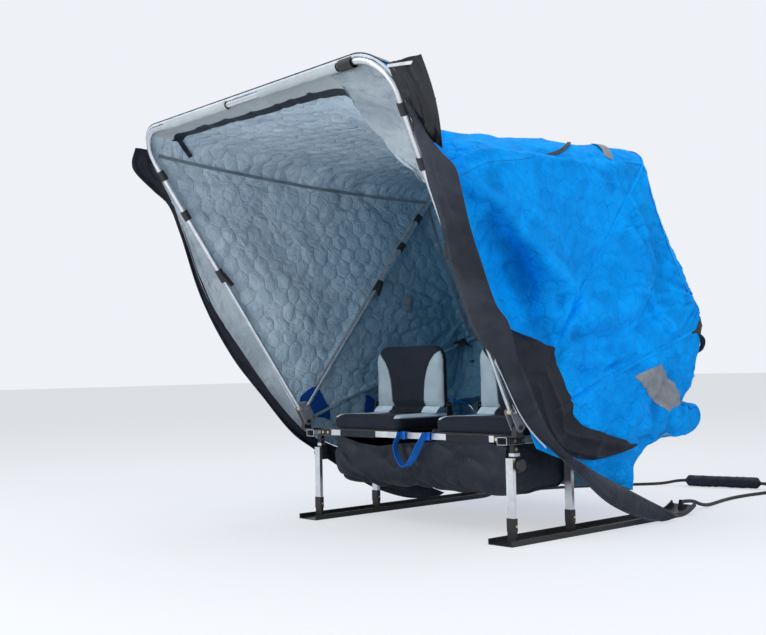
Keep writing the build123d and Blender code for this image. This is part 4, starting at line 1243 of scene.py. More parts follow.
    def facing(self, s: Array, v: Array) -> Array:
        """Finds the unit normals of the smooth shell.

        Args:
            s: Round the shell, as for the surface.
            v: From the front bow to the hem.

        Returns:
            Normals, shape (..., 3).
        """
        step = 1e-3
        ds = self.surface(s + step, v) - self.surface(s - step, v)
        dv = self.surface(s, v + step) - self.surface(s, v - step)
        return unit(np.cross(ds, dv))

    def at(self, s: Array, v: Array) -> tuple[Array, Array, Array]:
        """The smooth surface at places on it, its normals, and how far the fabric stands out there."""
        p = self.surface(s, v)
        return p, self.facing(s, v), self.folds(p, s, v)

    def folds(self, p: Array, s: Array, v: Array) -> Array:
        """How far the fabric stands out of its smooth shape, in mm.

        Args:
            p: The smooth surface in mm.
            s: Place round the ring.
            v: Place from the front bow to the hem.

        Returns:
            One number per point.
        """
        w = np.where(s < 3, s, 6 - s)
        rear = np.array([0, 900.0, 950.0])
        reach = np.linalg.norm((p - rear)[..., 1:], axis=-1)
        turn = np.arctan2(p[..., 2] - rear[2], p[..., 1] - rear[1])
        pull = np.stack([reach / 420.0, turn * 5.0, p[..., 0] / 900.0], axis=-1)
        long = self.ripple.creased(pull + 3.1) * 11.0
        broad = self.ripple.rich(p / 330.0, 2) * 9.0
        fine = self.ripple.creased(p / np.array([95.0, 110.0, 62.0]) + 5.0) * 6.0
        low = rise((v - 1.9) / 0.5)
        loose = self.ripple.rich(p / 210.0 + 9.0, 3) * 26.0
        total = long + broad + fine + low * loose
        if s.max() > 3:
            total = total + sum(stroke.lift(p, self.surface) for stroke in FOLDS)
        pin = np.minimum(np.abs(v - np.round(v)), 0.5)
        pin = np.where(v > 2.6, 0.5, pin)
        return total * rise(pin / 0.08) * rise(w / 0.3) * (0.55 + 0.45 * rise(np.abs(w - self.seam) / 0.1))

    def panel(self, name: str, s_to: tuple[float, float], v_to: tuple[float, float], size: tuple[int, int],
              flat: Callable[[Array], Array], materials: Sequence[bpy.types.Material]) -> bpy.types.Object:
        """One sewn panel with its outer and its lining face, and a hollow value that paints shade in its
        folds.

        Args:
            name: The piece's name.
            s_to: Stretch of the ring that it covers.
            v_to: Stretch from front to hem that it covers.
            size: Points each way.
            flat: Turns points in mm into flat coordinates in metres.
            materials: Finish of the lining, of the outer face, of the rim and of its front edge.

        Returns:
            The panel.
        """
        s, v = np.meshgrid(np.linspace(*s_to, size[0]), np.linspace(*v_to, size[1]), indexing="ij")
        base = self.surface(s, v)
        fold = self.folds(base, s, v)
        mid = base + normals(base) * (fold - self.inset)[..., None]
        out = normals(mid)
        wander = spots(self.ripple.rich(base / 120.0, 2), self.ripple.rich(base / 120.0 + 4.4, 2))
        cloth = flat(base) + wander * 0.019
        puff = 1 - hex_edge(cloth, QUILT) ** 3
        near = mid - out * (2.6 * puff)[..., None]
        far = mid + out * (self.thick + 0.8 * puff)[..., None]
        made = two_faced(name, near, far, materials, cloth, lead=3)
        # hollow is painted shade: the fold valleys on each face, and a darker band on the panel past the back
        # seam, where the wall turns away from the light
        dip = (blurred(fold, 7) - fold) / 15.0
        seam = through(BACK_SEAM, np.linspace(0, 1, 50))
        past = rise((np.interp(v, seam[:, 1], seam[:, 0]) - s) / 0.03) * (s > 4.7)
        behind = 0.5 * rise((v - 0.84) / 0.05) * past
        add_value(made, "hollow", np.stack([np.clip(-dip, 0, 1), np.clip(dip + behind, 0, 1)]).ravel())
        return made


def side_flat(p: Array) -> Array:
    """Flat coordinates of a side panel, in metres."""
    return p[..., 1:] * MM


def roof_flat(p: Array) -> Array:
    """Lays a roof or rear panel flat.

    Args:
        p: The panel's places in mm.

    Returns:
        Metres across, and along its slope.
    """
    along = np.linalg.norm(np.diff(p[..., 1:], axis=1), axis=-1)
    along = np.concatenate([np.zeros((p.shape[0], 1)), np.cumsum(along, axis=1)], axis=1)
    return spots(p[..., 0], along.mean(0, keepdims=True)) * MM


@dataclass
class Canopy:
    """The fabric canopy: panels, tapes, skirts and zip."""

    finishes: Finishes
    stitches: StitchRow
    shell: Shell = field(default_factory=Shell)
    ripple: Ripple = field(default_factory=lambda: Ripple(23))

    def build(self) -> None:
        """Builds every fabric piece of the canopy."""
        for part in (self.panels, self.tapes, self.patches, self.handles, self.wall_seams, self.sleeve):
            part()
        Skirts(self.finishes, self.stitches, self.shell).build()

    def panels(self) -> None:
        """The seven sewn panels."""
        f, bows = self.finishes, ["front_bow", "middle_bow", "rear_bow"]
        left, middle, right = (0, 1.25), (1.25, 4.75), (4.75, 6)
        for node, s_to, v_to, size, flat in (
            ("left_wall", left, (0, 2), (120, 190), side_flat),
            ("right_wall", right, (0, 2), (150, 230), side_flat),
            ("front_roof", middle, (0, 1), (170, 150), roof_flat),
            ("rear_roof", middle, (1, 2), (130, 70), roof_flat),
            ("left_lower_side", left, (2, 3), (110, 90), side_flat),
            ("right_lower_side", right, (2, 3), (130, 110), side_flat),
            ("rear_wall", middle, (2, 3), (130, 120), roof_flat),
        ):
            coats = [f.lining, f.shell, f.shell, f.binding]
            made = self.shell.panel(f"{node}_cloth", s_to, v_to, size, flat, coats)
            body = LOW_CLOTH if v_to == (2, 3) else "canopy"
            settle(made, body, node, ("stretched", bows, 1.4))

    def tape(self, name: str, s: Array, v: Array, width: float, inside: bool,
             material: bpy.types.Material, thick: float = 1.2, taut: int = 0) -> bpy.types.Object:
        """A tape sewn along a line on the shell.

        Args:
            name: The piece's name.
            s: Places round the ring.
            v: Places from front to hem.
            width: In mm.
            inside: On the lining, otherwise on the outer face.
            material: Its finish.
            thick: In mm.
            taut: How many points it spans from crest to crest, 0 to follow every fold.

        Returns:
            The tape, not yet on a body.
        """
        sh = self.shell
        p, n, fold = sh.at(s, v)
        if taut:
            near = np.arange(len(s))[:, None] + np.arange(-taut, taut + 1)[None]
            fold = fold[np.clip(near, 0, len(s) - 1)].max(1)
            fold = np.convolve(np.pad(fold, taut, "edge"), np.ones(2 * taut + 1) / (2 * taut + 1), "valid")
        p = p + n * (fold - sh.inset)[..., None]
        across = unit(np.cross(n, np.gradient(p, axis=0)))
        lift = -4.6 if inside else sh.thick + 1.4
        rows = np.stack([p + across * width * k + n * lift for k in (-0.5, -0.25, 0, 0.25, 0.5)], axis=1)
        stand = np.repeat((n * (-thick if inside else thick))[:, None], 5, axis=1)
        if inside:
            rows = rows[:, ::-1]
        return two_faced(name, rows, rows + stand, [material])

    def tapes(self) -> None:
        """Tapes on the seams and over the bows, the zip behind the crossbar and the strips on the roof."""
        f = self.finishes
        seam, ring, over = (0.03, 1.97), (0.1, 5.9), "shell_cloth"
        for name, s_to, v_to, points, width, inside, material, slot, *more in (
            ("left_seam_tape", (1.25, 1.25), seam, 160, 14.0, True, f.seam, "lining_cloth"),
            ("right_seam_tape", (4.75, 4.75), seam, 160, 14.0, True, f.seam, "lining_cloth"),
            ("left_ridge_tape", (1.25, 1.25), seam, 160, 16.0, False, f.shell, over),
            ("right_ridge_tape", (4.75, 4.75), seam, 160, 16.0, False, f.shell, over),
            # the tape over the middle bow gets the darkened lining cloth, painted shade
            ("middle_bow_tape", ring, (1.0, 1.0), 300, 30.0, True, f.loose, "lining_cloth"),
            ("middle_bow_ridge", ring, (1.0, 1.0), 300, 15.0, False, f.shell, over),
            ("rear_bow_ridge", ring, (2.0, 2.0), 300, 15.0, False, f.shell, over),
            ("front_zip", (1.68, 4.4), (0.086, 0.082), 120, 46.0, True, f.navy, "skirt_cloth", 2.0),
            ("zip_pull", (1.72, 1.4), (0.09, 0.132), 24, 20.0, True, f.navy, "skirt_cloth", 3.4),
            ("roof_strip", (4.15, 4.72), (0.84, 0.825), 40, 44.0, False, f.grey, over, 1.2, 8),
        ):
            s, v = np.linspace(*s_to, points), np.linspace(*v_to, points)
            settle(self.tape(name, s, v, width, inside, material, *more))
        places = ((4.09, 0.74), (4.4, 0.68), (4.643, 0.612), (4.8, 0.54), (4.9, 0.5))
        s, v = through(places, np.linspace(0, 1, 60)).T
        settle(self.tape("roof_tie", s, v, 15.0, False, f.black_web, 3.0, 8))

    def patch(self, name: str, corners: Sequence[Sequence[tuple[float, float]]], size: tuple[int, int],
              inside: bool, material: bpy.types.Material, sag: float) -> bpy.types.Object:
        """A cloth patch on the shell, through a grid of its places.

        Args:
            name: The piece's name.
            corners: Rows of its places, as (s, v).
            size: Points each way.
            inside: On the lining, otherwise on the outer face.
            material: Its finish.
            sag: How far its middle stands off, in mm.

        Returns:
            The patch, not yet on a body.
        """
        i = np.linspace(0, 1, size[0])[:, None, None]
        j = np.linspace(0, 1, size[1])[None, :, None]
        rows = np.stack([through(row, j.ravel()) for row in corners])
        places = np.stack([through(rows[:, k], i.ravel()) for k in range(size[1])], axis=1)
        s, v = places[..., 0], places[..., 1]
        sh = self.shell
        base, n, fold = sh.at(s, v)
        if not inside and np.mean(n[..., 0] * np.sign(base[..., 0])) < 0:
            n = -n
        lift = fold - sh.inset + (-5.2 if inside else sh.thick + 1.6)
        out = -1.0 if inside else 1.0
        bulge = sag * np.sin(math.pi * i[..., 0]) * np.sin(math.pi * j[..., 0])
        near = base + n * (lift + out * bulge)[..., None]
        return sheet_on(name, faced(near, n * out), 1.6, material)

    def patches(self) -> None:
        """The patches and tabs that are sewn on the shell and on the lining."""
        f = self.finishes
        handle = (((4.6, 1.94), (4.75, 1.965), (4.9, 1.985), (5.03, 2.0)),
                  ((4.6, 2.03), (4.75, 2.025), (4.9, 2.018), (5.02, 2.012)))
        gusset = (((0.03, 0.45), (0.05, 0.5)), ((0.03, 0.9), (0.1, 1.0)), ((0.03, 1.6), (0.12, 1.85)),
                  ((0.03, 2.1), (0.14, 2.4)))
        pocket = (((0.345, 2.105), (0.457, 2.271)), ((0.392, 2.421), (0.486, 2.519)))
        tab = (((0.749, 1.346), (0.789, 1.414)), ((0.714, 1.474), (0.749, 1.519)))
        facing = (((1.7, 0.012), (1.7, 0.074)), ((4.35, 0.012), (4.35, 0.074)))
        for name, corners, size, inside, material, sag, low in (
            ("side_patch", SIDE_PATCH, (40, 30), False, f.grey, 0.0, True),
            ("rear_handle", handle, (24, 30), False, f.black_web, 5.0, False),
            ("left_gusset", gusset, (60, 14), True, f.patch, 0.0, False),
            ("left_pocket", pocket, (16, 16), True, f.patch, 4.0, True),
            ("right_tab", tab, (12, 8), True, f.seam, 6.0, False),
            ("crossbar_facing", facing, (160, 8), True, f.facing, 0.0, False),
        ):
            made = self.patch(name, corners, size, inside, material, sag)
            settle(made, LOW_CLOTH if low else "canopy")

    def handles(self) -> None:
        """The strap handle that stands out at each rear corner."""
        for side in (Side.RIGHT, Side.LEFT):
            line = through(HANDLE, np.linspace(0, 1, 60)) * np.array([side.value, 1, 1])
            across = np.array([side.value, 0.0, 0.25]) * 26.0
            rows = line[:, None] + across * np.linspace(-0.7, 0.3, 6)[None, :, None]
            made = sheet_on(f"{side.name.lower()}_handle_strap", rows, 2.4, self.finishes.black_web)
            settle(made)

    def wall_seams(self) -> None:
        """Dark thread lines down the walls, where their panels are joined."""
        sh = self.shell
        lines = []
        for seam in (BACK_SEAM, FRONT_SEAM):
            t = through(seam, np.linspace(0, 1, 160))
            for s in (t[:, 0], 6 - t[:, 0]):
                base, n, fold = sh.at(s, t[:, 1])
                lines.append(base + n * (fold - sh.inset + sh.thick + 0.9)[..., None])
        made = self.stitches.lay("wall_seam_stitches", lines, self.finishes.thread, 7.0, 5.4, 2.0)
        settle(made)

    def sleeve(self) -> None:
        """The crossbar's loose cloth sleeve, open at its middle where the bare tube shows, and its clip."""
        f, (y, z) = self.finishes, self.shell.front.top()
        turn = np.linspace(0, 2 * math.pi, 41)
        out = spots(0.0, np.cos(turn), np.sin(turn))
        for name, x_to, radius, slack, material, slot, node in (
            ("bar_sleeve_left", (-560.0, -108.0), 15.5, 1.5, f.facing, "lining_cloth", "bar_sleeve"),
            ("bar_sleeve_right", (104.0, 560.0), 15.5, 1.5, f.facing, "lining_cloth", None),
            ("crossbar_clip", (575.0, 640.0), 19.0, 0.0, f.plastic, "black_plastic", None),
        ):
            x = np.linspace(*x_to, 90)[:, None]
            r = radius + slack * self.ripple.rich(spots(x / 60.0, out[:, 1] * 0.8, out[:, 2] * 0.8), 2)
            grid = spots(x, y + r * out[:, 1], z + r * out[:, 2])
            grid[:, -1] = grid[:, 0]
            settle(sheet_on(name, faced(grid, out), 1.4, material), node=node)


@dataclass
class Skirts:
    """The charcoal skirt: a band down each side to the ice, a loose top corner and the crossbar's stretch."""

    finishes: Finishes
    stitches: StitchRow
    shell: Shell
    ripple: Ripple = field(default_factory=lambda: Ripple(29))

    def build(self) -> None:
        """Builds the skirts."""
        self.band("right", "front_skirt", RIGHT_FREE, RIGHT_SEWN)
        self.band("left", "side_skirts", LEFT_FREE, LEFT_SEWN)
        for part in (self.top_skirt, self.loose_corner, self.aprons, self.left_edge, self.right_edge,
                     self.corner_flap):
            part()

    def band(self, side: str, node: str, free: tuple, sewn: tuple) -> None:
        """One band from the front corner past the hub to the ice.

        Args:
            side: left or right.
            node: The CAD node that it stands for.
            free: Its free edge in mm, from the top down.
            sewn: Its other edge.
        """
        left = side == "left"
        t, k = np.linspace(0, 1, 300), np.linspace(0, 1, 26)
        a, b = through(free, t), through(sewn, t)
        rows = between(a, b, k)
        wide = np.linalg.norm(b - a, axis=1)[:, None]
        gone = travelled((a + b) / 2)[:, None]
        if left:
            rows, k = rows[:, ::-1], k[::-1]
        place = spots(gone / 260.0, k[None] * wide / 150.0, 4.0 + left)
        round_off = np.sin(math.pi * k)[None] * np.minimum(wide, 160) * 0.09
        wave = self.ripple.rich(place, 2) * 7.0
        wave = wave + self.ripple.creased(place * np.array([0.7, 2.6, 1.0]) + 5) * 5.0
        fine = self.ripple.rich(place * 4.5 + 2.2, 2) * 1.2
        hem = np.exp(-((k[None] * wide - 13.0) / 3.0) ** 2) * -1.1
        calm = pinned(k, 0.12)[None] * rise(gone / 60.0)
        near = rows + normals(rows) * (round_off + (wave + fine) * (0.25 + 0.75 * calm) + hem)[..., None]
        near[..., 2] = np.maximum(near[..., 2], 3.4)
        far = near + normals(near) * 3.0
        far[..., 2] = np.maximum(far[..., 2], 0.4)
        # the left band gets the skirt cloth with painted shade
        made = two_faced(f"{side}_skirt", near, far, [self.finishes.dark if left else self.finishes.skirt])
        line = far[4:-4, -3 if left else 2]
        seam = self.stitches.lay(f"{side}_skirt_stitches", [line], self.finishes.pale_thread, 7.0, 4.5, 1.0)
        settle(seam, BAND)
        settle(made, BAND, node, ("hung", [f"{side}_wall_cloth"], 2.75))

    def top_skirt(self) -> None:
        """The crossbar's stretch of skirt, thrown back over the roof."""
        taut = Shell(slack=0.0)
        s, v = np.meshgrid(np.linspace(1.5, 4.5, 220), np.linspace(0.0, 0.16, 26), indexing="ij")
        base, free = taut.surface(s, v), v / 0.16
        wave = self.ripple.rich(spots(base[..., 0] / 160.0, free * 0.9, 8.0), 3)
        lift = taut.folds(base, s, v) + 5.5 + np.maximum(wave + 0.5, 0.0) * 9.0 * rise(free)
        made = sheet_on("top_skirt_cloth", base + normals(base) * lift[..., None], 3.0, self.finishes.gloss)
        settle(made, node="top_skirt", sheet=("laid", ["front_roof_cloth"], 1.7))

    def loose_corner(self) -> None:
        """The shiny underside of the skirt that stands out at the right front corner, with its tape."""
        t, k = np.linspace(0, 1, 60), np.linspace(0, 1, 70)
        rows = between(through(FLAP_TOP, t), through(FLAP_LOW, t), k)
        rows[..., 0] += (18.0 * np.sin(math.pi * k))[None] * rise(t)[:, None]
        rows = rows[:, ::-1]
        pull = spots(t[:, None] * 2.2, k[None] * 0.9 + t[:, None] * 0.8, 1.5)
        fold = self.ripple.creased(pull) * 16.0 + self.ripple.rich(pull * 3.0, 2) * 2.0
        near = rows + normals(rows) * (fold * pinned(t, 0.1)[:, None])[..., None]
        made = sheet_on("loose_skirt_corner", near, 2.4, self.finishes.gloss)
        settle(made, sheet=("hung", ["right_skirt"], 0.27))
        line = through(((790, -985, 1650), (850, -984, 1643), (902, -981, 1637)), np.linspace(0, 1, 30))
        across = np.array([0.0, -0.5, -0.86]) * 14.0
        strip = np.stack([line, line + across * 0.5, line + across], axis=1)
        settle(sheet_on("corner_tape", strip, 1.2, self.finishes.strip))

    def aprons(self) -> None:
        """The second charcoal panel low on each side wall, ending in a fold."""
        sh = self.shell
        t, k = np.linspace(0, 1, 200), np.linspace(0, 1, 34)
        places = between(through(APRON_INNER, t), through(APRON_OUTER, t), k)
        for side in (Side.RIGHT, Side.LEFT):
            s, v = places[..., 0], places[..., 1]
            base, n, hold = sh.at(6 - s if side is Side.LEFT else s, v)
            n[..., 0] = side.value * np.maximum(np.abs(n[..., 0]), 0.35)
            pull = spots(t[:, None] * 1.6, k[None] * 2.3, 6.0 + side.value)
            fold = self.ripple.creased(pull) * 9.0 + self.ripple.rich(pull * 2.0, 2) * 2.5
            lift = hold + sh.thick + 4.0 + (fold + 3.0) * pinned(k, 0.15)[None]
            near = faced(base + unit(n) * lift[..., None], (side.value, 0, 0))
            name = side.name.lower()
            # the aprons get the skirt cloth with painted shade
            made = sheet_on(f"{name}_apron", near, 2.6, self.finishes.dark)
            settle(made, LOW_CLOTH, sheet=("hung", [f"{name}_wall_cloth"], 1.1))

    def left_edge(self) -> None:
        """The left wall's front edge, which bellies out between the pole and the skirt."""
        t, k = np.linspace(0, 1, 220), np.linspace(0, 1, 24)
        w = 1.12 - 1.12 * t
        edge = through(LEFT_SEWN, np.clip(t * 0.66 + 0.02, 0, 1))
        rows = between(edge, self.shell.surface(w, np.zeros_like(w)), k)
        rows[..., 0] -= (14.0 * np.sin(math.pi * k))[None] * rise(t * 4)[:, None]
        pull = spots(t[:, None] * 5.0, k[None] * 1.1, 3.3)
        near = rows + normals(rows) * (self.ripple.creased(pull) * 5.0 * pinned(k, 0.2)[None])[..., None]
        # the front edge gets the darkened lining cloth, painted shade
        made = sheet_on("left_front_edge", faced(near, (-1, 0, 0)), 3.0, self.finishes.loose)
        settle(made, sheet=("hung", ["left_wall_cloth"], 1.4))

    def right_edge(self) -> None:
        """The right wall's pale front edge, which bellies out low between the pole and the skirt."""
        t, k = np.linspace(0, 1, 90), np.linspace(0, 1, 8)
        outer = through(RIGHT_EDGE, t)
        gap = self.shell.front.at(np.linspace(0.2, 0.0, 90), 14.0) - outer
        reach = np.sin(math.pi * np.clip(t * 0.86 + 0.14, 0, 1))[:, None]
        near = np.minimum(1.0, 62.0 / np.linalg.norm(gap, axis=1, keepdims=True)) * (0.35 + 0.65 * reach)
        rows = between(outer, outer + gap * near, k)
        rows[..., 0] += 5.0 * np.sin(math.pi * k)[None]
        made = sheet_on("right_front_edge", faced(rows, (1, 0, 0)), 2.2, self.finishes.binding)
        settle(made, BAND)

    def corner_flap(self) -> None:
        """The slack lining that hangs as a crumpled triangle inside the right front corner."""
        bow = self.shell.front
        t, k = np.linspace(0, 1, 130), np.linspace(0, 1, 60)
        top = bow.at(np.interp(t, (0, 0.2, 0.55, 1), (2.24, 1.9, 1.0, 0.71)), -3.0, 15.0)
        rows = between(top, through(FLAP_EDGE, t), k)
        zero = np.array(0.0)
        back = bow.space(zero, zero, 1.0) - bow.space(zero, zero)
        belly = 6.0 * np.sin(math.pi * k) + 40.0 * rise((k - 0.93) / 0.07)
        rows += back * (belly[None] * pinned(t, 0.12)[:, None])[..., None]
        pull = spots(t[:, None] * 5.6 + k[None] * 1.8, k[None] * 1.7, 2.6)
        fold = self.ripple.creased(pull) * 15.0 + self.ripple.creased(pull * 2.6 + 3) * 6.0 - 6.0
        near = rows + normals(rows) * (fold * pinned(k, 0.08)[None])[..., None]
        # the flap gets the darkened lining cloth, painted shade
        made = sheet_on("corner_flap", near, 3.0, self.finishes.loose)
        settle(made, sheet=("hung", ["front_roof_cloth"], 0.75))


@dataclass
class Seats:
    """Two cushions and two folding backs, stuffed by a cloth simulation."""

    finishes: Finishes
    centres: tuple[float, float] = (-272.0, 382.0)
    width: float = 455.0
    depth: float = 365.0
    front: float = -218.0
    seat_z: tuple[float, float] = (407.5, 469.5)
    back_y: tuple[float, float] = (57.0, 107.0)
    back_z: tuple[float, float] = (479.5, 782.5)
    shoulder: float = 75.0
    fill: float = 0.7
    frames: int = 20
    waist_steps: tuple = (0, 0.15, 0.3, 0.45, 0.6, 0.72, 0.82, 0.9, 1.0)
    waists: tuple = (101, 103, 106, 112, 126, 146, 174, 210, 262)

    def build(self) -> None:
        """Builds both seats."""
        for name, x, body in zip(("left", "right"), self.centres, (Body.LEFT_BACK, Body.RIGHT_BACK)):
            cushion, back = self.cushion(name, x), self.back(name, x)
            # the cushion gets the seat cloth with painted light and shade
            cushion.data.materials[0] = self.finishes.seat
            settle(cushion, "chassis", f"{name}_seat_cushion")
            settle(back, body.value, f"{name}_seat_back")
            self.gusset(name, x, body)
            for pad in (cushion, back):
                LOG.info("pad %s: %d faces", pad.name, len(pad.data.polygons))

    def gusset(self, side: str, x: float, body: Body) -> None:
        """The loose cloth that joins a cushion's top to its back.

        Args:
            side: left or right.
            x: The seat's middle.
            body: The back's body.
        """
        across = np.linspace(-205.0, 205.0, 120)[:, None]
        k = np.linspace(0, 1, 14)[None]
        arch = np.sin(math.pi * k)
        wave = Ripple(41).rich(spots(across / 55.0, k * 1.5, x / 300), 2)
        y = 34.0 + 26.0 * k ** 1.5 - wave * 5.0 * arch
        z = 471.5 + 26.0 * k ** 2.2 + wave * 4.0 * arch + 4.0 * arch
        grid = faced(spots(x + across, y, z), (0, 0, 1))
        # the gusset gets the seat cloth with painted light and shade
        made = sheet_on(f"{side}_seat_gusset", grid, 1.6, self.finishes.seat)
        add_value(made, "panel", (np.abs(points_of(made.data)[:, 0] / MM - x) - 104.0) * MM)
        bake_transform(made)
        declare_sheet(made, "folded", [f"{side}_cushion_pad"], 0.41)

    def block(self, name: str, outline: Array, along: Array, low: float, high: float,
              rounding: float) -> bpy.types.Object:
        """A closed block from an outline, its edges rounded.

        Args:
            name: The piece's name.
            outline: Closed row of points in mm in the block's own plane, shape (n, 3).
            along: The way that the block is thick.
            low: Where it starts along that way, in mm.
            high: Where it ends.
            rounding: Edge radius in mm.

        Returns:
            The new object.
        """
        inward = unit(np.cross(along, np.roll(outline, -1, 0) - np.roll(outline, 1, 0)))
        inward *= np.sign(((outline.mean(0) - outline) * inward).sum(1, keepdims=True))
        turns = np.linspace(0, math.pi / 2, 6)
        ends = [(a, low + rounding * (1 - math.cos(a))) for a in turns]
        ends += [(a, high - rounding * (1 - math.cos(a))) for a in turns[::-1]]
        rows = [outline + inward * rounding * (1 - math.sin(a)) + along * place for a, place in ends]
        n, last = len(outline), (len(rows) - 1) * len(outline)
        faces = [(r + k, r + (k + 1) % n, r + n + (k + 1) % n, r + n + k)
                 for r in range(0, last, n) for k in range(n)]
        faces += [tuple(range(n)), tuple(range(last, last + n))]
        return new_object(name, closed_mesh(name, np.concatenate(rows), faces), [self.finishes.pad])

    def stuffed(self, pad: bpy.types.Object, cap: float, voxel: float = 0.006) -> None:
        """Swells a pad by a short cloth simulation, and keeps the result as its mesh.

        Args:
            pad: The pad, slightly small.
            cap: How far a point may move, in metres.
            voxel: Size of the even mesh it gets first, in metres.
        """
        remesh = pad.modifiers.new("even", "REMESH")
        remesh.mode = "VOXEL"
        remesh.voxel_size = voxel
        graph = bpy.context.evaluated_depsgraph_get()
        pad.data = bpy.data.meshes.new_from_object(pad.evaluated_get(graph))
        pad.modifiers.clear()
        start = points_of(pad.data)
        cloth = pad.modifiers.new("stuffing", "CLOTH")
        for key, value in (("use_pressure", True), ("uniform_pressure_force", 4.0),
                           ("tension_stiffness", 15.0), ("compression_stiffness", 15.0)):
            setattr(cloth.settings, key, value)
        cloth.settings.effector_weights.gravity = 0.0
        scene = bpy.context.scene
        for frame in range(1, self.frames + 1):
            scene.frame_set(frame)
        graph = bpy.context.evaluated_depsgraph_get()
        shift = points_of(pad.evaluated_get(graph).data) - start
        size = np.maximum(np.linalg.norm(shift, axis=1, keepdims=True), 1e-9)
        shift *= np.minimum(1.0, cap / size)
        pad.modifiers.clear()
        scene.frame_set(1)
        pad.data.vertices.foreach_set("co", (start + shift).ravel())
        pad.data.materials.clear()
        pad.data.materials.append(self.finishes.pad)

    def finish_pad(self, pad: bpy.types.Object, panel: Callable[[Array, Array], Array],
                   shape: Callable[[Array, Array], Array]) -> None:
        """Shapes a pad's seams and writes the panel value that its cloth is split by.

        Args:
            pad: The pad.
            panel: Signed distance in metres from the colour seam, from points and normals in mm.
            shape: New points in mm from points and normals.
        """
        work = bmesh.new()
        work.from_mesh(pad.data)
        bmesh.ops.smooth_vert(work, verts=work.verts, factor=0.5, use_axis_x=True, use_axis_y=True,
                              use_axis_z=True)
        bmesh.ops.subdivide_edges(work, edges=work.edges, cuts=1, use_grid_fill=True, smooth=0.0)
        work.to_mesh(pad.data)
        work.free()
        co = points_of(pad.data) / MM
        no = np.zeros(co.size, np.float32)
        pad.data.vertex_normals.foreach_get("vector", no)
        no = no.reshape(-1, 3).astype(float)
        pad.data.vertices.foreach_set("co", (shape(co, no) * MM).ravel())
        add_value(pad, "panel", panel(co, no))
        pad.data.polygons.foreach_set("use_smooth", [True] * len(pad.data.polygons))
        pad.data.update()

    def rounded(self, half: tuple[float, float], radii: tuple[float, float], steps: int = 8) -> Array:
        """Outline of a rectangle whose upper and lower corners are rounded.

        Args:
            half: Half sizes.
            radii: Radius of the upper corners and of the lower ones.
            steps: Points to a corner.

        Returns:
            Points in its plane, shape (n, 2).
        """
        found = []
        for cx, cy, r, first in ((1, 1, radii[0], 0), (-1, 1, radii[0], 90), (-1, -1, radii[1], 180),
                                 (1, -1, radii[1], 270)):
            for k in range(steps + 1):
                a = math.radians(first + 90 * k / steps)
                found.append((cx * (half[0] - r) + r * math.cos(a), cy * (half[1] - r) + r * math.sin(a)))
        return np.array(found)

    def cushion(self, side: str, x: float) -> bpy.types.Object:
        """One seat cushion, flat below and crowned on top.

        Args:
            side: left or right.
            x: The seat's middle.

        Returns:
            The cushion, not yet on a body.
        """
        flat = self.rounded((self.width / 2 - 5, self.depth / 2 - 5), (32, 32))
        mid = self.front + self.depth / 2
        outline = spots(x + flat[:, 0], mid + flat[:, 1], 0.0)
        low, high = self.seat_z
        pad = self.block(f"{side}_cushion_pad", outline, np.array([0, 0, 1.0]), low + 3, high - 6, 13)
        self.stuffed(pad, 0.008)

        def outside(p: Array) -> Array:
            """How far points lie outside the dark waist of the cushion."""
            t = (p[:, 1] - self.front) / self.depth
            return np.abs(p[:, 0] - x) - (100.0 + 62.0 * np.abs(2 * (1 - t) - 0.72) ** 1.8)

        def panel(p: Array, n: Array) -> Array:
            """The grey sides of the cushion's top."""
            value = np.minimum(outside(p), (p[:, 2] - (high - 13)) * 1.2)
            return np.where(n[:, 2] > 0.25, value, -20.0) * MM

        def shape(p: Array, n: Array) -> Array:
            """Flat underneath, with its gusset pinched at two piped edges.

            Args:
                p: The pad's points in mm.
                n: Their normals.

            Returns:
                The points, moved.
            """
            p = p.copy()
            p[:, 2] -= 3.2 * np.exp(-(outside(p) / 7.0) ** 2) * (n[:, 2] > 0.5)
            dent = np.exp(-((p[:, 1] - mid) / 120.0) ** 2 - ((p[:, 0] - x) / 150.0) ** 2)
            p[:, 2] -= 5.0 * dent * (n[:, 2] > 0.3)
            p[:, 2] = np.clip(p[:, 2], low, high + 4)
            return p

        self.finish_pad(pad, panel, shape)
        return pad

    def back(self, side: str, x: float) -> bpy.types.Object:
        """One seat back, with an hourglass of dark cloth between pale wings.

        Args:
            side: left or right.
            x: The seat's middle.

        Returns:
            The back, not yet on a body.
        """
        low, high = self.back_z
        flat = self.rounded((self.width / 2 - 5, (high - low) / 2 - 5), (self.shoulder, 18), 12)
        mid = (low + high) / 2
        outline = spots(x + flat[:, 0], 0.0, mid + flat[:, 1])
        front, rear = self.back_y
        pad = self.block(f"{side}_back_pad", outline, np.array([0, 1.0, 0]), front + 4, rear - 4, 14)
        self.stuffed(pad, 0.009)

        def outside(p: Array) -> Array:
            """How far points lie outside the dark hourglass of the back."""
            t = np.clip((p[:, 2] - low) / (high - low), 0, 1)
            return np.abs(p[:, 0] - x) - np.interp(t, self.waist_steps, self.waists)

        def panel(p: Array, n: Array) -> Array:
            """The pale wings of the back's front face."""
            return np.where(n[:, 1] < -0.25, outside(p), -20.0) * MM

        def shape(p: Array, n: Array) -> Array:
            """A pinched seam along the hourglass and a hollow for the sitter's back.

            Args:
                p: The pad's points in mm.
                n: Their normals.

            Returns:
                The points, moved.
            """
            p = p.copy()
            ahead = n[:, 1] < -0.4
            p[:, 1] += 3.4 * np.exp(-(outside(p) / 7.0) ** 2) * ahead
            p[:, 1] += 3.0 * np.exp(-((p[:, 2] - (low + 30)) / 9.0) ** 2) * ahead
            p[:, 1] = np.clip(p[:, 1], front - 5, rear + 5)
            p[:, 2] = np.maximum(p[:, 2], low)
            return p

        self.finish_pad(pad, panel, shape)
        return pad


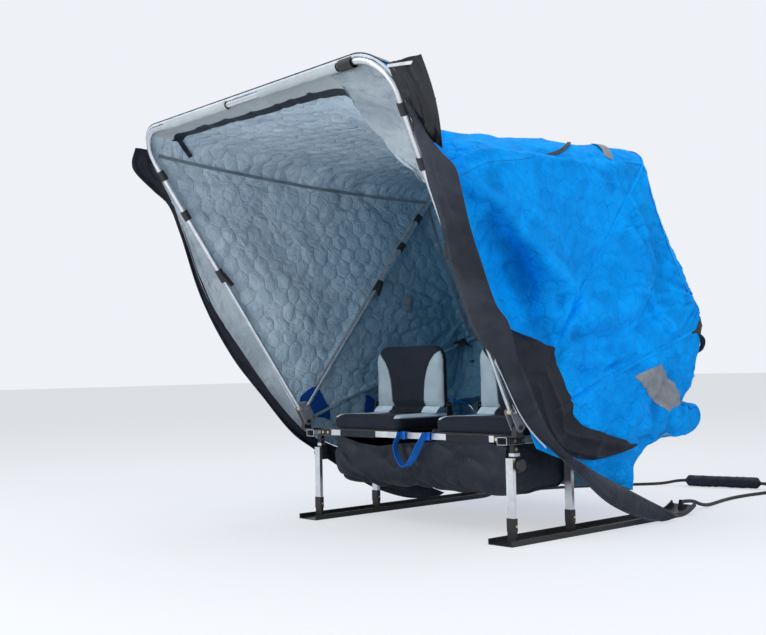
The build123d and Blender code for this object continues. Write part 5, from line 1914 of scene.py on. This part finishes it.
@dataclass
class CargoSling:
    """The cloth trough under the seats, hung between the rail wraps."""

    finishes: Finishes
    span: tuple[float, float] = (-465.0, 560.0)
    top: tuple = ((-465, 372.5), (-420, 372.5), (-300, 347), (-172, 338), (-35, 355), (210, 372.5),
                  (467, 372.5), (560, 360))
    line: tuple = ((6.5, 372), (7, 300), (15, 235), (40, 185), (90, 162), (180, 156), (290, 166), (345, 205),
                   (360, 290), (361, 372.5))
    front: float = -218.0
    ripple: Ripple = field(default_factory=lambda: Ripple(37))

    def build(self) -> None:
        """Builds the sling's sheet."""
        x, t = np.linspace(*self.span, 190), np.linspace(0, 1, 120)
        share = (x - self.span[0]) / (self.span[1] - self.span[0])
        knots = np.array(self.line, float)
        gone = travelled(knots)
        line = through(knots, np.interp(t, gone / gone[-1], np.linspace(0, 1, len(knots))))
        z = line[None, :, 1]
        lift = 14.0 * (1 - share) ** 5 + 26.0 * share ** 6
        z = z + np.where(z < 300, lift[:, None] * (300 - z) / 150, 0)
        edge = np.interp(x, *np.array(self.top).T)
        z = z - (372 - edge)[:, None] * rise((z - 250) / 120) * (t < 0.35)[None]
        base = spots(x[:, None], self.front + line[None, :, 0], z)
        pull = spots(base[..., 0] / 260.0 + (z - 250) / 420.0, z / 240.0, base[..., 1] / 300.0)
        slant = ((base[..., 0] + 455) * 170 + (z - 350) * 155) / 230.0
        ahead = 1 - rise((t - 0.35) / 0.1)[None]
        fold = self.ripple.creased(pull * 1.6) * 17.0 + self.ripple.rich(base / 150.0, 3) * 7.0 - 6.0
        drape = 12.0 * np.exp(-(slant / 14.0) ** 2) - 9.0 * np.exp(-((slant - 34.0) / 20.0) ** 2)
        fold = fold + drape * ahead
        free = rise(t / 0.04) * rise((1 - t) / 0.06)
        near = base + normals(base) * (fold * free[None])[..., None]
        made = sheet_on("cargo_sling_cloth", near, 3.0, self.finishes.sling)
        settle(made, "chassis", "cargo_sling", ("hung", ["rail_wraps"], 1.1))
        k = np.linspace(0, 1, 30)
        half = near.shape[1] // 2
        for name, row, way in (("left_sling_end", near[2], -1), ("right_sling_end", near[-3], 1)):
            grid = faced(between(row[:half], row[::-1][:half], k), (way, 0, 0)).copy()
            grid[..., 0] += self.ripple.rich(grid / 90.0, 2) * 4.0 * pinned(k, 0.2)[None]
            made = sheet_on(name, grid, 2.0, self.finishes.sling)
            settle(made, "chassis", sheet=("hung", ["cargo_sling_cloth"], 0.4))


@dataclass
class PullStrap:
    """The blue webbing loop in front of the rail, with its two keepers."""

    finishes: Finishes
    loop: tuple = ((-12, 404), (-16, 388), (-36, 350), (-26, 306), (2, 272), (22, 264), (44, 274), (76, 308),
                   (104, 352), (130, 388), (135, 404))
    near: float = -223.5
    wide: float = 36.0
    rail: tuple[float, float] = (-205.5, 389.0)
    half: float = 13.9

    def build(self) -> None:
        """Builds the loop and its keepers."""
        t, k = np.linspace(0, 1, 130), np.linspace(0, 1, 8)
        line = through(self.loop, t)
        flare = 0.8 + 0.2 * np.sin(math.pi * t)
        lean = (k - 0.5)[None] * 9.0 * np.sin(2 * math.pi * t)[:, None]
        grid = spots(line[:, :1] + lean, self.near - self.wide * k[None] * flare[:, None], line[:, 1:])
        made = sheet_on("pull_strap_web", grid, 2.2, self.finishes.blue_web)
        settle(made, "chassis", "pull_strap")
        turn = np.linspace(0, 2 * math.pi, 49)
        out = spots(0.0, np.cos(turn), np.sin(turn))
        ring = self.rail + self.half * out[:, 1:] / np.abs(out).max(1, keepdims=True)
        for name, x in (("left_keeper_web", -12.0), ("right_keeper_web", 135.0)):
            grid = spots(np.linspace(x - 15.0, x + 15.0, 10)[:, None], ring[None, :, 0], ring[None, :, 1])
            settle(sheet_on(name, faced(grid, out), 2.0, self.finishes.blue_web), "chassis")


@dataclass
class TowStrap:
    """The rolled strap from ski to ski, and its padded grip."""

    finishes: Finishes
    route: tuple = (
        (-583, 905, 52), (-583, 980, 52), (-573, 1080, 22), (-550, 1195, 8), (-505, 1325, 8), (-440, 1450, 8),
        (-368, 1565, 8), (-292, 1675, 8), (-215, 1770, 8), (-140, 1830, 12), (-60, 1858, 32), (20, 1874, 32),
        (130, 1904, 32), (250, 1934, 32), (345, 1948, 32), (420, 1942, 32), (478, 1905, 14), (500, 1835, 8),
        (492, 1740, 8), (478, 1625, 8), (480, 1500, 8), (498, 1375, 8), (526, 1260, 8), (552, 1155, 10),
        (572, 1065, 24), (583, 980, 52), (583, 905, 52),
    )
    grip: float = 31.0

    def build(self) -> None:
        """Builds the strap's curve and its pad."""
        curve = bpy.data.curves.new("tow_strap_rope", "CURVE")
        curve.dimensions = "3D"
        curve.bevel_depth = 0.008
        curve.bevel_resolution = 3
        curve.use_fill_caps = True
        spline = curve.splines.new("NURBS")
        spline.points.add(len(self.route) - 1)
        for point, place in zip(spline.points, self.route):
            point.co = (place[0] * MM, place[1] * MM, place[2] * MM, 1.0)
        spline.order_u = 3
        spline.use_endpoint_u = True
        spline.resolution_u = 10
        rope = new_object("tow_strap_rope", curve, [self.finishes.black_web])
        settle(rope, "chassis", "tow_strap")
        pad = self.pad(rope)

    def pad(self, rope: bpy.types.Object) -> bpy.types.Object:
        """The padded grip, which follows the strap's own line.

        Args:
            rope: The strap.

        Returns:
            The grip, on its body.
        """
        bare = rope.data.copy()
        bare.bevel_depth = 0.0
        probe = new_object("probe", bare)
        graph = bpy.context.evaluated_depsgraph_get()
        line = points_of(bpy.data.meshes.new_from_object(probe.evaluated_get(graph))) / MM
        bpy.data.objects.remove(probe)
        path = line[(line[:, 0] > -28) & (line[:, 0] < 372) & (line[:, 1] > 1840)]
        gone = travelled(path)
        even = np.linspace(0, gone[-1], 90)
        path = np.stack([np.interp(even, gone, path[:, k]) for k in range(3)], axis=1)
        way = unit(np.gradient(path, axis=0))
        flat = unit(np.cross(way, [0, 0, 1.0]))
        up = np.cross(flat, way)
        turn = np.linspace(0, 2 * math.pi, 32, endpoint=False)[None]
        t = (even / gone[-1])[:, None]
        wave = Ripple(5).rich(spots(turn * 0.9, t * 22, 0.0), 2)
        r = self.grip * (0.42 + 0.58 * pinned(t, 0.05)) - 1.8 + wave * 1.8
        across, above = (np.cos(turn) * r)[..., None], (np.sin(turn) * r)[..., None]
        grid = path[:, None] + flat[:, None] * across + up[:, None] * above
        n, m = grid.shape[:2]
        faces = [(i * m + j, (i + 1) * m + j, (i + 1) * m + (j + 1) % m, i * m + (j + 1) % m)
                 for i in range(n - 1) for j in range(m)]
        faces += [tuple(range(m)), tuple(range((n - 1) * m, n * m))[::-1]]
        shape = closed_mesh("tow_pad_cloth", grid.reshape(-1, 3), faces)
        made = new_object("tow_pad_cloth", shape, [self.finishes.sling])
        smooth(shape, 60)
        settle(made, "chassis", "tow_pad")
        return made


@dataclass
class FramePieces:
    """The metal and plastic pieces that keep their CAD shape and get their finish here."""

    finishes: Finishes
    nodes: dict

    def build(self) -> None:
        """Gives every carried-over CAD node its material."""
        f = self.finishes
        for material, names in (
            (f.ski, ("skis",)),
            (f.plastic, ("foot_caps", "leg_knobs", "cam_locks", "bow_clips", "seat_boards")),
            (f.alu, ("leg_tubes", "post_clips", "side_arms", "cross_rails")),
            (f.black, ("leg_posts", "corner_plates", "pivot_brackets", "hinge_ears")),
            (f.bolt, ("frame_bolts", "bow_bolts", "left_hinge_pins", "right_hinge_pins")),
            (f.plate, ("hub_plates",)),
            (f.tube, ("front_bow_poles", "middle_bow_poles", "rear_bow_poles")),
            (f.tube, ("front_bow", "middle_bow", "rear_bow")),
            (f.sling, ("rail_wraps",)),
        ):
            for name in names:
                node = self.nodes[name]
                node.data.materials.clear()
                node.data.materials.append(material)
            LOG.info("%s: %s", material.name, ", ".join(names))


@dataclass
class Studio:
    """Pale floor and sky, soft lamps, and the camera at the photograph's angle."""

    place: tuple[float, float, float] = (3.4186, -3.3716, 0.662)
    focal: float = 1111.8
    width: int = 766
    yaw: float = 0.8431
    pitch: float = 0.0475
    roll: float = -0.022

    def build(self) -> None:
        """Makes the camera, floor, world and lamps."""
        self.camera()
        self.floor()
        self.world()
        self.lamp("key", (-1.2, -5.5, 5.0), (0.0, 0.2, 0.8), 4.5, 150.0)
        self.lamp("side", (5.5, -0.5, 4.2), (0.2, 0.3, 0.8), 4.0, 110.0)
        self.lamp("top", (0.0, 0.5, 6.5), (0.0, 0.3, 0.5), 6.0, 100.0)
        self.lamp("front", (0.6, -5.2, 1.3), (0.0, 0.0, 0.9), 3.0, 75.0)
        scene = bpy.context.scene
        scene.view_settings.view_transform = "Standard"

    def camera(self) -> None:
        """The camera, fitted to the photograph."""
        data = bpy.data.cameras.new("camera")
        data.sensor_width = 36.0
        data.lens = self.focal / self.width * 36.0
        made = new_object("camera", data)
        level = math.cos(self.pitch)
        ahead = Vector((-math.sin(self.yaw) * level, math.cos(self.yaw) * level, math.sin(self.pitch)))
        right = Vector((math.cos(self.yaw), math.sin(self.yaw), 0.0))
        up = right.cross(ahead)
        across = math.cos(self.roll) * right + math.sin(self.roll) * up
        above = -math.sin(self.roll) * right + math.cos(self.roll) * up
        turn = Matrix((across, above, -ahead)).transposed().to_4x4()
        turn.translation = Vector(self.place)
        made.matrix_world = turn
        bpy.context.scene.camera = made

    def floor(self) -> None:
        """A pale level floor that keeps the hut's shadow."""
        mesh = bpy.data.meshes.new("floor")
        r = 60.0
        mesh.from_pydata([(-r, -r, 0), (r, -r, 0), (r, r, 0), (-r, r, 0)], [], [(0, 1, 2, 3)])
        sh = Shader("floor_pale")
        grain = sh.noise(sh.here(), 60.0, 4.0, 0.6)
        normal = sh.bump(grain, 0.004, 0.25)
        matt = sh.node("ShaderNodeBsdfDiffuse", values={"Color": (0.8, 0.82, 0.85, 1), "Normal": normal})
        glow = sh.node("ShaderNodeEmission", values={"Color": (0.93, 0.945, 0.98, 1), "Strength": 1.0})
        path = sh.node("ShaderNodeLightPath", output="Is Camera Ray")
        sh.closed(sh.node("ShaderNodeMixShader", values={0: path * 0.55, 1: matt, 2: glow}))
        new_object("floor", mesh, [sh.material])

    def world(self) -> None:
        """Even overcast light, with a pale sky for the camera and in reflections."""
        world = bpy.data.worlds.new("overcast")
        bpy.context.scene.world = world
        sh = Shader("overcast", world)
        camera, glossy, clear = (sh.node("ShaderNodeLightPath", output=f"Is {ray} Ray")
                                 for ray in ("Camera", "Glossy", "Transmission"))
        dim = sh.node("ShaderNodeBackground", values={"Color": (0.9, 0.94, 1.0, 1), "Strength": 0.62})
        pale = sh.node("ShaderNodeBackground", values={"Color": (0.86, 0.88, 0.93, 1), "Strength": 1.0})
        seen = sh.most(sh.most(camera, glossy), clear)
        sh.closed(sh.node("ShaderNodeMixShader", values={0: seen, 1: dim, 2: pale}), "ShaderNodeOutputWorld")

    def lamp(self, name: str, place: Sequence[float], at: Sequence[float], size: float, watts: float) -> None:
        """A large soft lamp.

        Args:
            name: The lamp's name.
            place: Where it stands, in metres.
            at: What it points at.
            size: Its side in metres.
            watts: Its power.
        """
        data = bpy.data.lights.new(name, "AREA")
        data.shape = "SQUARE"
        data.size = size
        data.energy = watts
        made = new_object(name, data)
        made.location = place
        made.rotation_mode = "QUATERNION"
        made.rotation_quaternion = (Vector(at) - Vector(place)).to_track_quat("-Z", "Y")


def main() -> None:
    """Builds the hut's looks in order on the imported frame."""
    logging.basicConfig(level=logging.INFO, format="%(message)s")
    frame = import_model()
    Studio().build()
    finishes = Finishes()
    stitches = StitchRow()
    FramePieces(finishes, frame["nodes"]).build()
    PullStrap(finishes).build()
    TowStrap(finishes).build()
    Canopy(finishes, stitches).build()
    CargoSling(finishes).build()
    Seats(finishes).build()
    bpy.context.view_layer.update()


if __name__ == "__main__":
    main()
